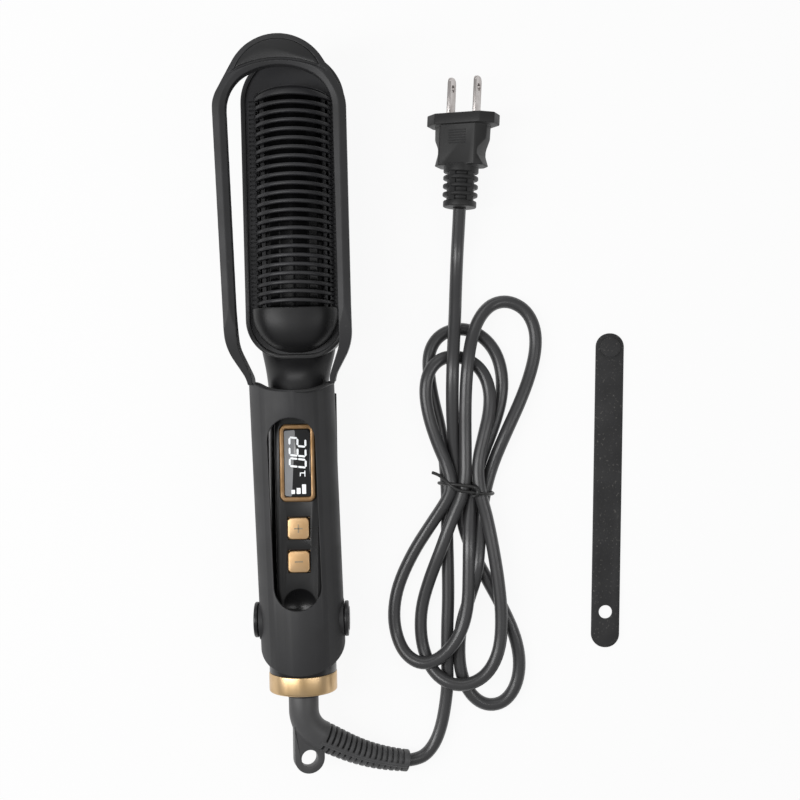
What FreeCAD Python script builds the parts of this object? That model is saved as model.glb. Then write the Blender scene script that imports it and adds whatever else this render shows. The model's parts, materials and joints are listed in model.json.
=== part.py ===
"""Heated hair straightener brush with a squeeze lever, a swivel cord and a loose strap.

Millimetres. X is right, Y points to the tip of the head and Z is up. The brush lies on the flat back
of its head: the origin is the middle of that flat, and Z = 0 is the surface it rests on. The handle is
a tube whose axis runs along Y at the height of its radius. Lever pieces are drawn closed and are then
turned open about the pivot pins, which is how they rest.
"""
import FreeCAD, Part
import Sketcher
import math
import os

SIZES = {
    # general fits
    "seat_gap": 0.1,
    "running_gap": 0.3,
    # head shell: a tub with a flat back
    "head_tip": 68.5,
    "head_end": -68.4,
    "head_tip_half": 23.4,
    "head_tip_flat": 0.6,
    "head_end_half": 22.3,
    "head_end_corner": 17.5,
    "head_rim_height": 25.0,
    "head_back_round": 14.0,
    "head_wall": 2.0,
    "wire_bore": 6.0,
    "wire_run": 12.0,
    "wire_height": 13.5,
    # comb insert: arched ribs over the heater
    "comb_top": 37.6,
    "comb_half": 17.2,
    "comb_sink": 1.2,
    "comb_wall": 1.8,
    "comb_flange": 2.0,
    "comb_front": 50.4,
    "comb_front_round": 1.3,
    "comb_lip": -48.6,
    "comb_end": -64.0,
    "slot_count": 24.0,
    "slot_first": 45.35,
    "slot_pitch": 3.93,
    "slot_width": 2.25,
    "slot_half": 16.2,
    "groove_half": 19.6,
    "groove_depth": 0.6,
    "groove_width": 0.8,
    # heater stack
    "heater_front": 47.2,
    "heater_back": -46.5,
    "heater_half": 12.6,
    "heater_lobe_half": 10.6,
    "heater_valley_half": 6.6,
    "heater_crown": 33.3,
    "heater_lobe_top": 31.6,
    "heater_valley_top": 29.8,
    "heater_underside": 24.0,
    "element_half": 9.0,
    "element_thickness": 2.0,
    "element_inset": 4.0,
    "mica_half": 11.0,
    "mica_thickness": 0.5,
    "carrier_thickness": 3.0,
    "carrier_post": 3.0,
    "carrier_post_inset": 10.0,
    "thermistor_radius": 0.9,
    "thermistor_length": 6.0,
    "fuse_radius": 2.0,
    "fuse_length": 10.0,
    # handle tube
    "handle_radius": 18.9,
    "core_drop": 5.2,
    "core_wall": 1.8,
    "core_start": -84.0,
    "core_end": -208.5,
    "boss_drop": 3.9,
    "boss_length": 7.5,
    "neck_drop": 0.9,
    "neck_flare_half": 16.6,
    "neck_flare_low": 3.0,
    "neck_flare_high": 23.5,
    "neck_flare_corner": 8.0,
    "neck_spigot": 5.5,
    "neck_root": -61.0,
    # display panel in the front of the tube
    "panel_front": -90.5,
    "panel_back": -181.0,
    "panel_drop": 2.4,
    "panel_thickness": 1.6,
    "panel_half": 10.0,
    "panel_round": 15.1,
    "scoop_station": -177.4,
    "scoop_radius": 12.0,
    "scoop_depth": 2.6,
    "scoop_block": 6.0,
    # lever cover
    "lever_wall": 1.8,
    "lever_skirt": 4.0,
    "lever_split": -79.0,
    "lever_lip": -80.6,
    "lip_radius": 36.8,
    "lever_open": 3.0,
    "lever_play": 1.0,
    "cover_end": -195.9,
    "tongue_reach": 10.6,
    "window_front": -93.4,
    "window_back": -177.6,
    "window_half": 10.4,
    "pivot_station": -185.2,
    "ear_radius": 8.4,
    "ear_depth": 3.3,
    "rear_gap": 1.0,
    "rear_inset": 0.7,
    "rear_start": -84.0,
    "seat_rib": 3.0,
    "seat_rib_inset": 8.0,
    # hoop
    "hoop_width": 5.4,
    "hoop_depth": 6.9,
    "hoop_tip_round": 22.5,
    "hoop_tip_corner": 92.1,
    "hoop_shoulder_half": 28.6,
    "hoop_shoulder": 43.8,
    "hoop_shoulder_round": 15.0,
    "hoop_knee_half": 27.4,
    "hoop_knee": -62.3,
    "hoop_knee_round": 24.0,
    "hoop_foot": -77.0,
    "hoop_foot_round": 14.0,
    "hoop_inner_tip": 60.6,
    "hoop_inner_tip_round": 30.0,
    "hoop_inner_shoulder_half": 23.0,
    "hoop_inner_shoulder": 49.6,
    "hoop_inner_round": 17.0,
    "hoop_foot_wall": 2.0,
    "hoop_drop_start": -51.0,
    "hoop_drop_top": 9.5,
    "crest_depth": 1.1,
    "crest_outer": 2.7,
    "crest_inner": 2.3,
    "inlay_tip": 68.2,
    "inlay_radius": 19.7,
    "inlay_thickness": 0.8,
    "inlay_arc": 45.0,
    "inlay_arc_tip": 59.9,
    "inlay_groove": 0.9,
    # screen and buttons
    "bezel_front": -97.9,
    "bezel_back": -131.1,
    "bezel_half": 7.45,
    "bezel_rise": 1.2,
    "bezel_corner": 2.2,
    "glass_half": 5.7,
    "glass_margin": 1.85,
    "glass_corner": 1.0,
    "lens_thickness": 0.8,
    "lcd_thickness": 2.4,
    "lcd_margin": 0.7,
    "plus_station": -143.3,
    "minus_station": -157.9,
    "button_half": 4.75,
    "button_corner": 1.8,
    "button_rise": 1.7,
    "button_gap": 0.15,
    "button_travel": 0.6,
    "button_flange": 0.9,
    "button_flange_thickness": 0.8,
    "switch_half": 3.0,
    "board_gap": 1.9,
    "board_front": -96.0,
    "board_back": -192.0,
    "board_top": 5.0,
    "board_thickness": 1.6,
    "board_post": 2.0,
    "board_post_side": 3.0,
    "board_post_front": 8.0,
    "board_post_back": 22.0,
    # pivots and power button
    "pivot_radius": 4.0,
    "pivot_play": 0.5,
    "pivot_depth": 1.7,
    "disc_radius": 7.9,
    "disc_left_proud": 2.3,
    "disc_right_proud": 2.0,
    "power_radius": 5.4,
    "power_proud": 0.4,
    "power_head": 1.0,
    "power_travel": 0.6,
    "power_stem": 2.2,
    "stem_depth": 2.7,
    "power_switch_depth": 6.0,
    "power_switch_half": 5.0,
    "power_switch_drop": 8.0,
    # lever spring
    "spring_station": -88.5,
    "spring_radius": 3.2,
    "spring_wire": 0.6,
    "spring_seat": 7.0,
    "spring_cup_wall": 1.2,
    # end ring and swivel
    "ring_drop": 3.7,
    "ring_wall": 1.4,
    "ring_end": -217.0,
    "ring_round": 1.0,
    "ring_floor": 2.0,
    "ring_collar": 4.0,
    "swivel_bore_share": 0.46,
    "swivel_flange_gap": 1.4,
    "swivel_flange_thickness": 1.8,
    "swivel_collar_step": 0.8,
    "relief_start": -219.25,
    "hub_radius": 3.6,
    "hub_length": 8.0,
    "slip_ring_radius": 4.6,
    "slip_ring_width": 2.0,
    "slip_ring_pitch": 3.6,
    "holder_half": 6.0,
    "holder_thickness": 3.0,
    "contact_thickness": 0.6,
    "contact_width": 1.6,
    # strain relief
    "relief_tilt": 16.0,
    "relief_straight": 6.5,
    "relief_bend": 14.0,
    "relief_bend_angle": 62.0,
    "relief_run": 12.0,
    "relief_sweep": 90.0,
    "relief_sweep_angle": 17.0,
    "relief_tail": 5.0,
    "relief_root_radius": 6.7,
    "relief_end_radius": 5.0,
    "relief_core_radius": 4.0,
    "relief_rib": 1.7,
    "relief_ribs": 16.0,
    "eye_across": 2.0,
    "eye_along": 28.4,
    "eye_radius": 6.8,
    "eye_bore": 3.8,
    "eye_thickness": 5.0,
    # cord and plug
    "cord_radius": 2.95,
    "hank_height": 13.5,
    "tie_radius": 0.9,
    "tie_half_width": 13.2,
    "tie_across": 75.5,
    "tie_along": -128.3,
    "tie_turn": -7.5,
    "plug_station": -0.4,
    "plug_across": 74.2,
    "plug_height": 11.9,
    "plug_yaw": -3.4,
    "plug_roll": -26.0,
    "flange_half": 16.6,
    "flange_flat": 3.4,
    "flange_half_thickness": 7.4,
    "flange_shoulder": 11.0,
    "flange_depth": 5.0,
    "plug_body_half": 13.0,
    "plug_body_shoulder": 8.6,
    "plug_body_thickness": 6.4,
    "plug_length": 42.0,
    "plug_waist_half": 9.6,
    "plug_waist_along": 25.0,
    "plug_tail": 19.0,
    "plug_sleeve_radius": 6.2,
    "plug_rib_radius": 8.0,
    "plug_rib": 1.7,
    "plug_rib_pitch": 3.75,
    "blade_length": 17.5,
    "blade_half": 3.2,
    "blade_thickness": 1.5,
    "blade_spacing": 12.7,
    "blade_bore": 1.6,
    "blade_bore_inset": 5.0,
    # strap
    "strap_length": 145.8,
    "strap_half": 6.5,
    "strap_thickness": 1.4,
    "strap_across": 141.2,
    "strap_along": -131.1,
    "strap_turn": -1.93,
    "strap_hole": 3.1,
    "strap_hole_inset": 16.4,
    "stud_inset": 6.6,
    "stud_radius": 4.6,
    "stud_height": 1.6,
}

doc = FreeCAD.newDocument("HairStraightenerBrush")
sheet = doc.addObject("Spreadsheet::Sheet", "Sizes")
for row, (alias, amount) in enumerate(SIZES.items(), start=1):
    sheet.set("A%d" % row, alias)
    sheet.set("B%d" % row, str(amount))
    sheet.setAlias("B%d" % row, alias)
doc.recompute()


class Size:
    """A number from the sheet, with the expression that gives it."""

    def __init__(self, amount, text):
        self.amount = amount
        self.text = text

    def joined(self, sign, other, amount, swap=False):
        pair = (text_of(other), self.text) if swap else (self.text, text_of(other))
        return Size(amount, "(%s %s %s)" % (pair[0], sign, pair[1]))

    def __add__(self, other):
        return self.joined("+", other, self.amount + float(other))

    def __radd__(self, other):
        return self.joined("+", other, float(other) + self.amount, swap=True)

    def __sub__(self, other):
        return self.joined("-", other, self.amount - float(other))

    def __rsub__(self, other):
        return self.joined("-", other, float(other) - self.amount, swap=True)

    def __mul__(self, other):
        return self.joined("*", other, self.amount * float(other))

    def __rmul__(self, other):
        return self.joined("*", other, float(other) * self.amount, swap=True)

    def __truediv__(self, other):
        return self.joined("/", other, self.amount / float(other))

    def __neg__(self):
        return Size(-self.amount, "(0 - %s)" % self.text)

    def __float__(self):
        return float(self.amount)


class Sheet:
    """Reads a size by its alias."""

    def __getattr__(self, alias):
        return Size(float(sheet.get(alias)), "Sizes." + alias)


def text_of(amount):
    return amount.text if isinstance(amount, Size) else repr(float(amount))


def root_of(size):
    return Size(math.sqrt(float(size)), "sqrt(%s)" % text_of(size))


def bind(item, name, size):
    """Ties a property of an object to the sheet."""
    item.setExpression(name, text_of(size))


of = Sheet()
axis_height = of.handle_radius
core_radius = of.handle_radius - of.core_drop
ear_inner = of.handle_radius - of.ear_depth
disc_left_face = of.handle_radius + of.disc_left_proud
disc_right_face = of.handle_radius + of.disc_right_proud
power_face = disc_right_face + of.power_proud
stem_end = core_radius - of.stem_depth
nodes = []
UP = FreeCAD.Vector(0, 0, 1)
pivot_point = FreeCAD.Vector(0, float(of.pivot_station), float(axis_height))
play_turn = FreeCAD.Placement(FreeCAD.Vector(), FreeCAD.Rotation(UP, float(of.lever_play)), pivot_point)


# ---------------------------------------------------------------- building helpers

def place(item, corner, turn=None):
    """Binds the place of an object, with an optional fixed turn."""
    if turn is not None:
        item.Placement = FreeCAD.Placement(FreeCAD.Vector(), turn)
    for name, size in zip("xyz", corner):
        bind(item, "Placement.Base." + name, size)


def box(label, low, high):
    item = doc.addObject("Part::Box", label)
    for name, near, far in zip(("Length", "Width", "Height"), low, high):
        bind(item, name, far - near)
    place(item, low)
    return item


TURNS = {
    "X": FreeCAD.Rotation(FreeCAD.Vector(0, 1, 0), 90),
    "Y": FreeCAD.Rotation(FreeCAD.Vector(1, 0, 0), -90),
    "Z": FreeCAD.Rotation(),
}


def rod(label, axis, radius, start, length):
    """A cylinder from a start point along an axis."""
    item = doc.addObject("Part::Cylinder", label)
    bind(item, "Radius", radius)
    bind(item, "Height", length)
    place(item, start, TURNS[axis])
    return item


def fuse(label, *parts):
    item = doc.addObject("Part::MultiFuse", label)
    item.Shapes = list(parts)
    return item


def common(label, *parts):
    item = doc.addObject("Part::MultiCommon", label)
    item.Shapes = list(parts)
    return item


def cut(label, base, *tools):
    """Takes tools from a base, and raises if nothing was taken."""
    item = doc.addObject("Part::Cut", label)
    item.Base = base
    item.Tool = tools[0] if len(tools) == 1 else fuse(label + "_tools", *tools)
    doc.recompute()
    if item.Shape.Volume >= item.Base.Shape.Volume - 1e-6:
        raise ValueError("nothing was cut from " + label)
    return item


def node(item, name):
    """Names a finished sub-part and lists it for the export."""
    item.Label = name
    nodes.append(item)
    return item


def origin_plane(body, role):
    return next(plane for plane in body.Origin.OriginFeatures if plane.Role == role)


def new_sketch(body, plane, height=0.0):
    """A sketch on an origin plane of its own body, at a height along the plane's normal."""
    sketch = body.newObject("Sketcher::SketchObject", body.Name + "_sketch")
    sketch.AttachmentSupport = [(origin_plane(body, plane + "_Plane"), "")]
    sketch.MapMode = "FlatFace"
    bind(sketch, "AttachmentOffset.Base.z", height)
    return sketch


def rounded(corners):
    """Straight edges and tangent arcs of a closed outline of (x, y, radius) corners.

    Returns for each corner its point, the arc's two ends, its middle and its centre; the last four are
    None at a sharp corner.
    """
    points = [FreeCAD.Vector(float(x), float(y), 0) for x, y, _ in corners]
    found = []
    for index, point in enumerate(points):
        radius = float(corners[index][2])
        if radius == 0:
            found.append((point, None, None, None, None))
            continue
        back = (points[index - 1] - point).normalize()
        ahead = (points[(index + 1) % len(points)] - point).normalize()
        half = back.getAngle(ahead) / 2
        middle = (back + ahead).normalize()
        reach = radius / math.tan(half)
        centre = point + middle * (radius / math.sin(half))
        found.append((point, point + back * reach, point + ahead * reach, centre - middle * radius, centre))
    return found


def draw_outline(sketch, corners):
    """Draws a closed outline of (x, y, radius) corners, every one bound to the sheet."""
    shape = rounded(corners)
    count = len(shape)
    ends = [(here[2] or here[0], shape[(i + 1) % count][1] or shape[(i + 1) % count][0])
            for i, here in enumerate(shape)]
    lines = [sketch.addGeometry(Part.LineSegment(*pair), False) for pair in ends]
    for index, (point, start, end, middle, centre) in enumerate(shape):
        x, y, radius = corners[index]
        before, after = lines[index - 1], lines[index]
        if start is None:
            sketch.addConstraint(Sketcher.Constraint("Coincident", before, 2, after, 1))
            corner, vertex = after, 1
        else:
            circle = Part.Circle(centre, FreeCAD.Vector(0, 0, 1), float(radius))
            angles = [math.atan2(spot.y - centre.y, spot.x - centre.x) for spot in (start, end)]
            turn = (start - point).cross(end - point).z
            angles = angles if turn < 0 else angles[::-1]
            arc = sketch.addGeometry(Part.ArcOfCircle(circle, angles[0], angles[1]), False)
            first, last = (1, 2) if turn < 0 else (2, 1)
            sketch.addConstraint(Sketcher.Constraint("Tangent", before, 2, arc, first))
            sketch.addConstraint(Sketcher.Constraint("Tangent", after, 1, arc, last))
            size = sketch.addConstraint(Sketcher.Constraint("Radius", arc, float(radius)))
            sketch.setExpression("Constraints[%d]" % size, text_of(radius))
            corner, vertex = sketch.addGeometry(Part.Point(point), True), 1
            sketch.addConstraint(Sketcher.Constraint("PointOnObject", corner, 1, before))
            sketch.addConstraint(Sketcher.Constraint("PointOnObject", corner, 1, after))
        for name, size in (("DistanceX", x), ("DistanceY", y)):
            if float(size) == 0:
                axis = -2 if name == "DistanceX" else -1
                sketch.addConstraint(Sketcher.Constraint("PointOnObject", corner, vertex, axis))
                continue
            index_of = sketch.addConstraint(Sketcher.Constraint(name, -1, 1, corner, vertex, float(size)))
            sketch.setExpression("Constraints[%d]" % index_of, text_of(size))


def extrude(label, plane, corners, start, end, base=None):
    """Pads an outline between two heights over an origin plane: the XZ plane's height runs to -Y."""
    body = doc.addObject("PartDesign::Body", label)
    sketch = new_sketch(body, plane, start)
    draw_outline(sketch, corners)
    pad = body.newObject("PartDesign::Pad", label + "_pad")
    pad.Profile = sketch
    bind(pad, "Length", end - start)
    doc.recompute()
    if base is not None:
        place(body, base)
    return body


def turned(label, corners):
    """Revolves an outline of (radius, station, round) corners about the handle's axis."""
    body = doc.addObject("PartDesign::Body", label)
    sketch = new_sketch(body, "XY")
    draw_outline(sketch, corners)
    spin = body.newObject("PartDesign::Revolution", label + "_spin")
    spin.Profile = sketch
    spin.ReferenceAxis = (sketch, ["V_Axis"])
    spin.Angle = 360
    place(body, (0.0, 0.0, axis_height))
    doc.recompute()
    return body


def mirrored(half):
    """Completes the right half of a plan outline, listed from front to back, with its left half."""
    left = [(-x, y, r) for x, y, r in reversed(half) if float(x) != 0]
    return half + left


def rounded_wire(corners):
    """The wire of an outline of (x, y, radius) corners, in the XY plane."""
    shape = rounded(corners)
    edges = []
    for index, (point, start, end, middle, _) in enumerate(shape):
        following = shape[(index + 1) % len(shape)]
        if start is not None:
            edges.append(Part.Arc(start, middle, end).toShape())
        edges.append(Part.LineSegment(end or point, following[1] or following[0]).toShape())
    return Part.Wire(edges)


def slab(corners, low, high):
    """A solid of an outline between two heights."""
    solid = Part.Face(rounded_wire(corners)).extrude(FreeCAD.Vector(0, 0, float(high) - float(low)))
    solid.translate(FreeCAD.Vector(0, 0, float(low)))
    return solid


def box_between(half, back, front, low, high):
    """A plain solid that is centred across the brush."""
    return Part.makeBox(2 * float(half), float(front - back), float(high - low),
                        FreeCAD.Vector(-float(half), float(back), float(low)))


def side_slab(corners, half):
    """A solid of a side outline of (station, height, radius) corners, to both sides of the middle."""
    face = Part.Face(rounded_wire(corners))
    face.rotate(FreeCAD.Vector(), FreeCAD.Vector(1, 1, 1), 120)
    solid = face.extrude(FreeCAD.Vector(2 * float(half), 0, 0))
    solid.translate(FreeCAD.Vector(-float(half), 0, 0))
    return solid


def feature(label, shape, placement=None):
    """A sub-part whose shape comes from Part's own functions."""
    item = doc.addObject("Part::Feature", label)
    item.Shape = shape
    if placement is not None:
        item.Placement = placement
    return item


# ---------------------------------------------------------------- head

def head_plan(inset):
    """The plan outline of the head, or one that lies inside it by an inset."""
    half = of.head_tip_half - inset
    return mirrored([
        (half, of.head_tip - inset, half - of.head_tip_flat),
        (of.head_end_half - inset, of.head_end + inset, of.head_end_corner - inset),
    ])


head_outer = extrude("HeadOuter", "XY", head_plan(0.0), 0.0, of.head_rim_height)
round_back = head_outer.newObject("PartDesign::Fillet", "HeadBackRound")


def edges_at_height(shape, height):
    """The names of the edges that lie flat at a height."""
    return ["Edge%d" % (i + 1) for i, edge in enumerate(shape.Edges)
            if abs(edge.BoundBox.ZMin - height) < 1e-6 and abs(edge.BoundBox.ZMax - height) < 1e-6]


head_pad = doc.getObject("HeadOuter_pad")
round_back.Base = (head_pad, edges_at_height(head_pad.Shape, 0.0))
bind(round_back, "Radius", of.head_back_round)
head_outer.Tip = round_back
doc.recompute()

cavity_height = of.head_rim_height + of.head_wall
head_inner = extrude("HeadInner", "XY", head_plan(of.head_wall), of.head_wall, cavity_height)
round_cavity = head_inner.newObject("PartDesign::Fillet", "HeadCavityRound")
cavity_pad = doc.getObject("HeadInner_pad")
round_cavity.Base = (cavity_pad, edges_at_height(cavity_pad.Shape, float(of.head_wall)))
bind(round_cavity, "Radius", of.head_back_round - of.head_wall)
head_inner.Tip = round_cavity
doc.recompute()

wire_hole = rod("WireHole", "Y", of.wire_bore, (0.0, of.head_end - of.wire_run / 2, of.wire_height), of.wire_run)
node(cut("HeadShell", head_outer, head_inner, wire_hole), "head_rear_shell")


def hoop_hole(inset):
    """The plan outline of the hole in the closed hoop, or one that lies inside it by an inset."""
    foot = of.handle_radius - of.hoop_foot_wall - inset
    return mirrored([
        (0.0, of.hoop_inner_tip - inset * 1.1, of.hoop_inner_tip_round - inset),
        (of.hoop_inner_shoulder_half - inset, of.hoop_inner_shoulder - inset * 0.5, of.hoop_inner_round - inset),
        (of.hoop_knee_half - of.hoop_width - inset, of.hoop_knee, of.hoop_knee_round - of.hoop_width),
        (foot, of.hoop_foot + 1.0, of.hoop_foot_round - 4.0),
        (foot, of.lever_split - 7.0, 0.0),
    ])


DOME_STEPS = 7
DOME_REACH = 85.0
hoop_low = axis_height + of.handle_radius - of.hoop_depth
comb_floor = of.head_rim_height - of.comb_sink
comb_low = comb_floor - of.comb_flange
comb_seat = of.head_wall + of.seat_gap


def arch_wire(station, inset, share=1.0):
    """A share of the arch across the comb, as a full ellipse about the floor that it springs from."""
    ellipse = Part.Ellipse(FreeCAD.Vector(), (float(of.comb_half) - inset) * share,
                           (float(of.comb_top - comb_floor) - inset) * share).toShape()
    ellipse.rotate(FreeCAD.Vector(), FreeCAD.Vector(1, 0, 0), 90)
    ellipse.translate(FreeCAD.Vector(0, float(station), float(comb_floor)))
    return Part.Wire([ellipse])


def comb_vault(inset):
    """The vault of the comb, with a rounded front edge and a domed end, or the room inside it."""
    front = of.comb_front - inset
    edge = front - of.comb_front_round
    barrel = Part.Face(arch_wire(of.comb_lip, inset)).extrude(FreeCAD.Vector(0, float(edge - of.comb_lip), 0))
    tip = arch_wire(front, inset + float(of.comb_front_round))
    nose = Part.makeLoft([arch_wire(edge, inset), tip], True, True)
    length = of.comb_lip - of.comb_end - inset
    rings = []
    for step in range(DOME_STEPS):
        angle = math.radians(DOME_REACH * step / (DOME_STEPS - 1))
        rings.append(arch_wire(of.comb_lip - length * math.sin(angle), inset, math.cos(angle)))
    dome = Part.makeLoft(rings, True, False)
    return barrel.fuse([nose, dome])


def side_grooves(station):
    """The two fine grooves in the comb's floor beside a slot, on both sides of the vault."""
    length = float(of.groove_half - of.slot_half)
    low = float(comb_floor - of.groove_depth)
    found = []
    for side in (-1, 1):
        near = min(side * float(of.groove_half), side * float(of.slot_half))
        for shift in (-1, 1):
            back = float(station + of.slot_pitch * shift / 4 - of.groove_width / 2)
            found.append(Part.makeBox(length, float(of.groove_width), float(of.comb_top) - low,
                                      FreeCAD.Vector(near, back, low)))
    return found


comb_plate = slab(head_plan(comb_seat), comb_low, comb_floor)
landing = hoop_low - of.running_gap * 2
hoop_room = slab(hoop_hole(of.running_gap * 2), landing, of.comb_top + 1.0)
hoop_room.Placement = play_turn.multiply(hoop_room.Placement)
below_hoop = slab(head_plan(0.0), comb_low, landing)
vault = comb_vault(0.0).common(hoop_room.fuse(below_hoop))
comb = comb_plate.fuse(vault).cut(comb_vault(float(of.comb_wall)))
slots, grooves = [], []
for index in range(int(float(of.slot_count))):
    station = of.slot_first - of.slot_pitch * index
    slots.append(box_between(of.slot_half, station - of.slot_width / 2, station + of.slot_width / 2,
                             comb_floor + of.comb_sink, of.comb_top + of.comb_sink))
    grooves.extend(side_grooves(station))
comb = comb.cut(Part.makeCompound(slots)).cut(Part.makeCompound(grooves))
node(feature("CombInsert", comb), "comb_insert")


# ---------------------------------------------------------------- heater stack

def between(label, half, back, front, low, high):
    """A box that is centred across the brush."""
    return box(label, (-half, back, low), (half, front, high))


heater = extrude("Heater", "XZ", mirrored([
    (0.0, of.heater_crown, 4.0),
    (of.heater_valley_half, of.heater_valley_top, 2.0),
    (of.heater_lobe_half, of.heater_lobe_top, 1.0),
    (of.heater_half, of.heater_valley_top - 1.0, 0.0),
    (of.heater_half, of.heater_underside, 0.0),
]), -of.heater_front, -of.heater_back)
node(heater, "heater_plate")

element_low = of.heater_underside - of.element_thickness
mica_low = element_low - of.mica_thickness
element_back = of.heater_back + of.element_inset
element_front = of.heater_front - of.element_inset
node(between("Element", of.element_half, element_back, element_front, element_low, of.heater_underside),
     "heating_element")
node(between("Mica", of.mica_half, element_back, element_front, mica_low, element_low), "mica_sheet")

carrier_low = mica_low - of.carrier_thickness
carrier_inner = of.heater_half + of.seat_gap
carrier_outer = carrier_inner + of.comb_wall
channel = between("CarrierChannel", carrier_outer, of.heater_back, of.heater_front, carrier_low,
                  of.heater_underside + of.carrier_thickness)
trough = between("CarrierTrough", carrier_inner, of.heater_back - 1.0, of.heater_front + 1.0, mica_low,
                 of.heater_underside + of.carrier_thickness + 1.0)
posts = [rod("CarrierPost", "Z", of.carrier_post, (x, y, of.head_wall), carrier_low - of.head_wall)
         for x in (of.carrier_post * 2, of.carrier_post * -2)
         for y in (of.heater_front - of.carrier_post_inset, of.heater_back + of.carrier_post_inset)]
node(fuse("Carrier", cut("CarrierTray", channel, trough), *posts), "heater_carrier")

sensor_side = of.element_half + of.thermistor_radius + of.running_gap
node(rod("Thermistor", "Y", of.thermistor_radius,
         (sensor_side, -of.thermistor_length / 2, of.heater_underside - of.thermistor_radius),
         of.thermistor_length), "thermistor")
node(rod("Fuse", "Y", of.fuse_radius, (0.0, 0.0, carrier_low - of.fuse_radius), of.fuse_length),
     "thermal_fuse")


# ---------------------------------------------------------------- neck and core tube

def loft(label, sections):
    """Joins outlines of (x, z, radius) corners at stations along the brush."""
    body = doc.addObject("PartDesign::Body", label)
    sketches = []
    for station, corners in sections:
        sketch = new_sketch(body, "XZ", -station)
        draw_outline(sketch, corners)
        sketches.append(sketch)
    skin = body.newObject("PartDesign::AdditiveLoft", label + "_loft")
    skin.Profile = sketches[0]
    skin.Sections = sketches[1:]
    doc.recompute()
    return body


def round_box(half, low, high, corner):
    return [(half, high, corner), (half, low, corner), (-half, low, corner), (-half, high, corner)]


neck_radius = core_radius - of.neck_drop
neck_low = axis_height - neck_radius
neck_high = axis_height + neck_radius
neck_form = loft("NeckForm", [
    (of.neck_root, round_box(of.neck_flare_half, of.neck_flare_low, of.neck_flare_high, of.neck_flare_corner)),
    ((of.head_end * 2 + of.core_start) / 3, round_box(
        (of.neck_flare_half + neck_radius * 2) / 3, (of.neck_flare_low + neck_low) / 2,
        (of.neck_flare_high + neck_high * 1.2) / 2.2, (of.neck_flare_corner + neck_radius) / 2)),
    (of.core_start, round_box(neck_radius, neck_low, neck_high, neck_radius - 0.3)),
])
spigot = rod("NeckSpigot", "Y", core_radius - of.core_wall - of.seat_gap,
             (0.0, of.core_start - of.neck_spigot, axis_height), of.neck_spigot)
neck_bore = rod("NeckBore", "Y", of.wire_bore, (0.0, of.core_start - of.wire_run, of.wire_height),
                of.neck_root - of.core_start + of.wire_run + 1.0)
cup_radius = of.spring_radius + of.running_gap + of.spring_cup_wall
spring_low = axis_height + of.spring_seat
cup_room = rod("CupRoom", "Z", cup_radius + of.running_gap,
               (0.0, of.spring_station, spring_low - of.spring_cup_wall * 2), of.handle_radius)
node(cut("Neck", fuse("NeckSolid", neck_form, spigot), head_outer, neck_bore, cup_room), "neck")

core_length = of.core_start - of.core_end
tube = rod("CoreTube", "Y", core_radius, (0.0, of.core_end, axis_height), core_length)
tube_bore = rod("CoreBore", "Y", core_radius - of.core_wall, (0.0, of.core_end - 1.0, axis_height),
                core_length + 2.0)
panel_top = axis_height + core_radius - of.panel_drop
panel_under = panel_top - of.panel_thickness
boss = rod("Boss", "Y", of.handle_radius - of.boss_drop, (0.0, of.core_end, axis_height), of.boss_length)
shell_form = fuse("ShellForm", tube, boss)
front_half = between("FrontHalf", of.handle_radius, of.core_end - 1.0, of.core_start + 1.0, axis_height,
                     axis_height + of.handle_radius)
pad_rod = rod("PanelRod", "Y", of.panel_round, (0.0, of.panel_back, axis_height), of.panel_front - of.panel_back)
pad_box = between("PanelBox", of.panel_half, of.panel_back, of.panel_front, panel_under - 2.0, panel_top)
above_panel = between("AbovePanel", of.handle_radius, of.panel_back, of.panel_front, panel_top,
                      panel_top + of.handle_radius)
panel_plate = between("PanelPlate", of.handle_radius, of.panel_back, of.panel_front, panel_under,
                      panel_top + of.handle_radius)
front_cavity = cut("FrontCavity", tube_bore, panel_plate)
front_skin = fuse("FrontSkin", common("FrontTube", shell_form, front_half), common("PanelPad", pad_rod, pad_box))
scoop_low = panel_top - of.scoop_block + 1.1
scoop_block = common("ScoopBlock", tube, between(
    "ScoopBox", of.scoop_block + 3.0, of.scoop_station - of.scoop_block, of.scoop_station + of.scoop_block,
    scoop_low, panel_top))
scoop_ball = doc.addObject("Part::Sphere", "ScoopBall")
bind(scoop_ball, "Radius", of.scoop_radius)
place(scoop_ball, (0.0, of.scoop_station, panel_top + of.scoop_radius - of.scoop_depth))
spring_cup = rod("SpringCup", "Z", cup_radius, (0.0, of.spring_station, spring_low - of.spring_cup_wall),
                 core_radius - of.spring_seat - 0.4)
cup_bore = rod("CupBore", "Z", of.spring_radius + of.running_gap, (0.0, of.spring_station, spring_low),
               of.handle_radius)
pin_bore = rod("PinBore", "X", of.pivot_radius + of.seat_gap / 2,
               (-of.handle_radius, of.pivot_station, axis_height), of.handle_radius * 2)
glass_front = of.bezel_front - of.glass_margin
glass_back = of.bezel_back + of.glass_margin
display_hole = between("DisplayHole", of.glass_half, glass_back, glass_front, panel_under - 5.0, panel_top + 1.0)
hole_half = of.button_half + of.button_gap
button_holes = [between("ButtonHole", hole_half, station - hole_half, station + hole_half, panel_under - 5.0,
                        panel_top + 1.0) for station in (of.plus_station, of.minus_station)]
hollow_front = cut("HollowFront", front_skin, front_cavity, above_panel)
filled_front = fuse("FilledFront", hollow_front, scoop_block, spring_cup)
node(cut("CoreFront", filled_front, scoop_ball, cup_bore, pin_bore, display_hole, *button_holes), "core_front")

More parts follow.
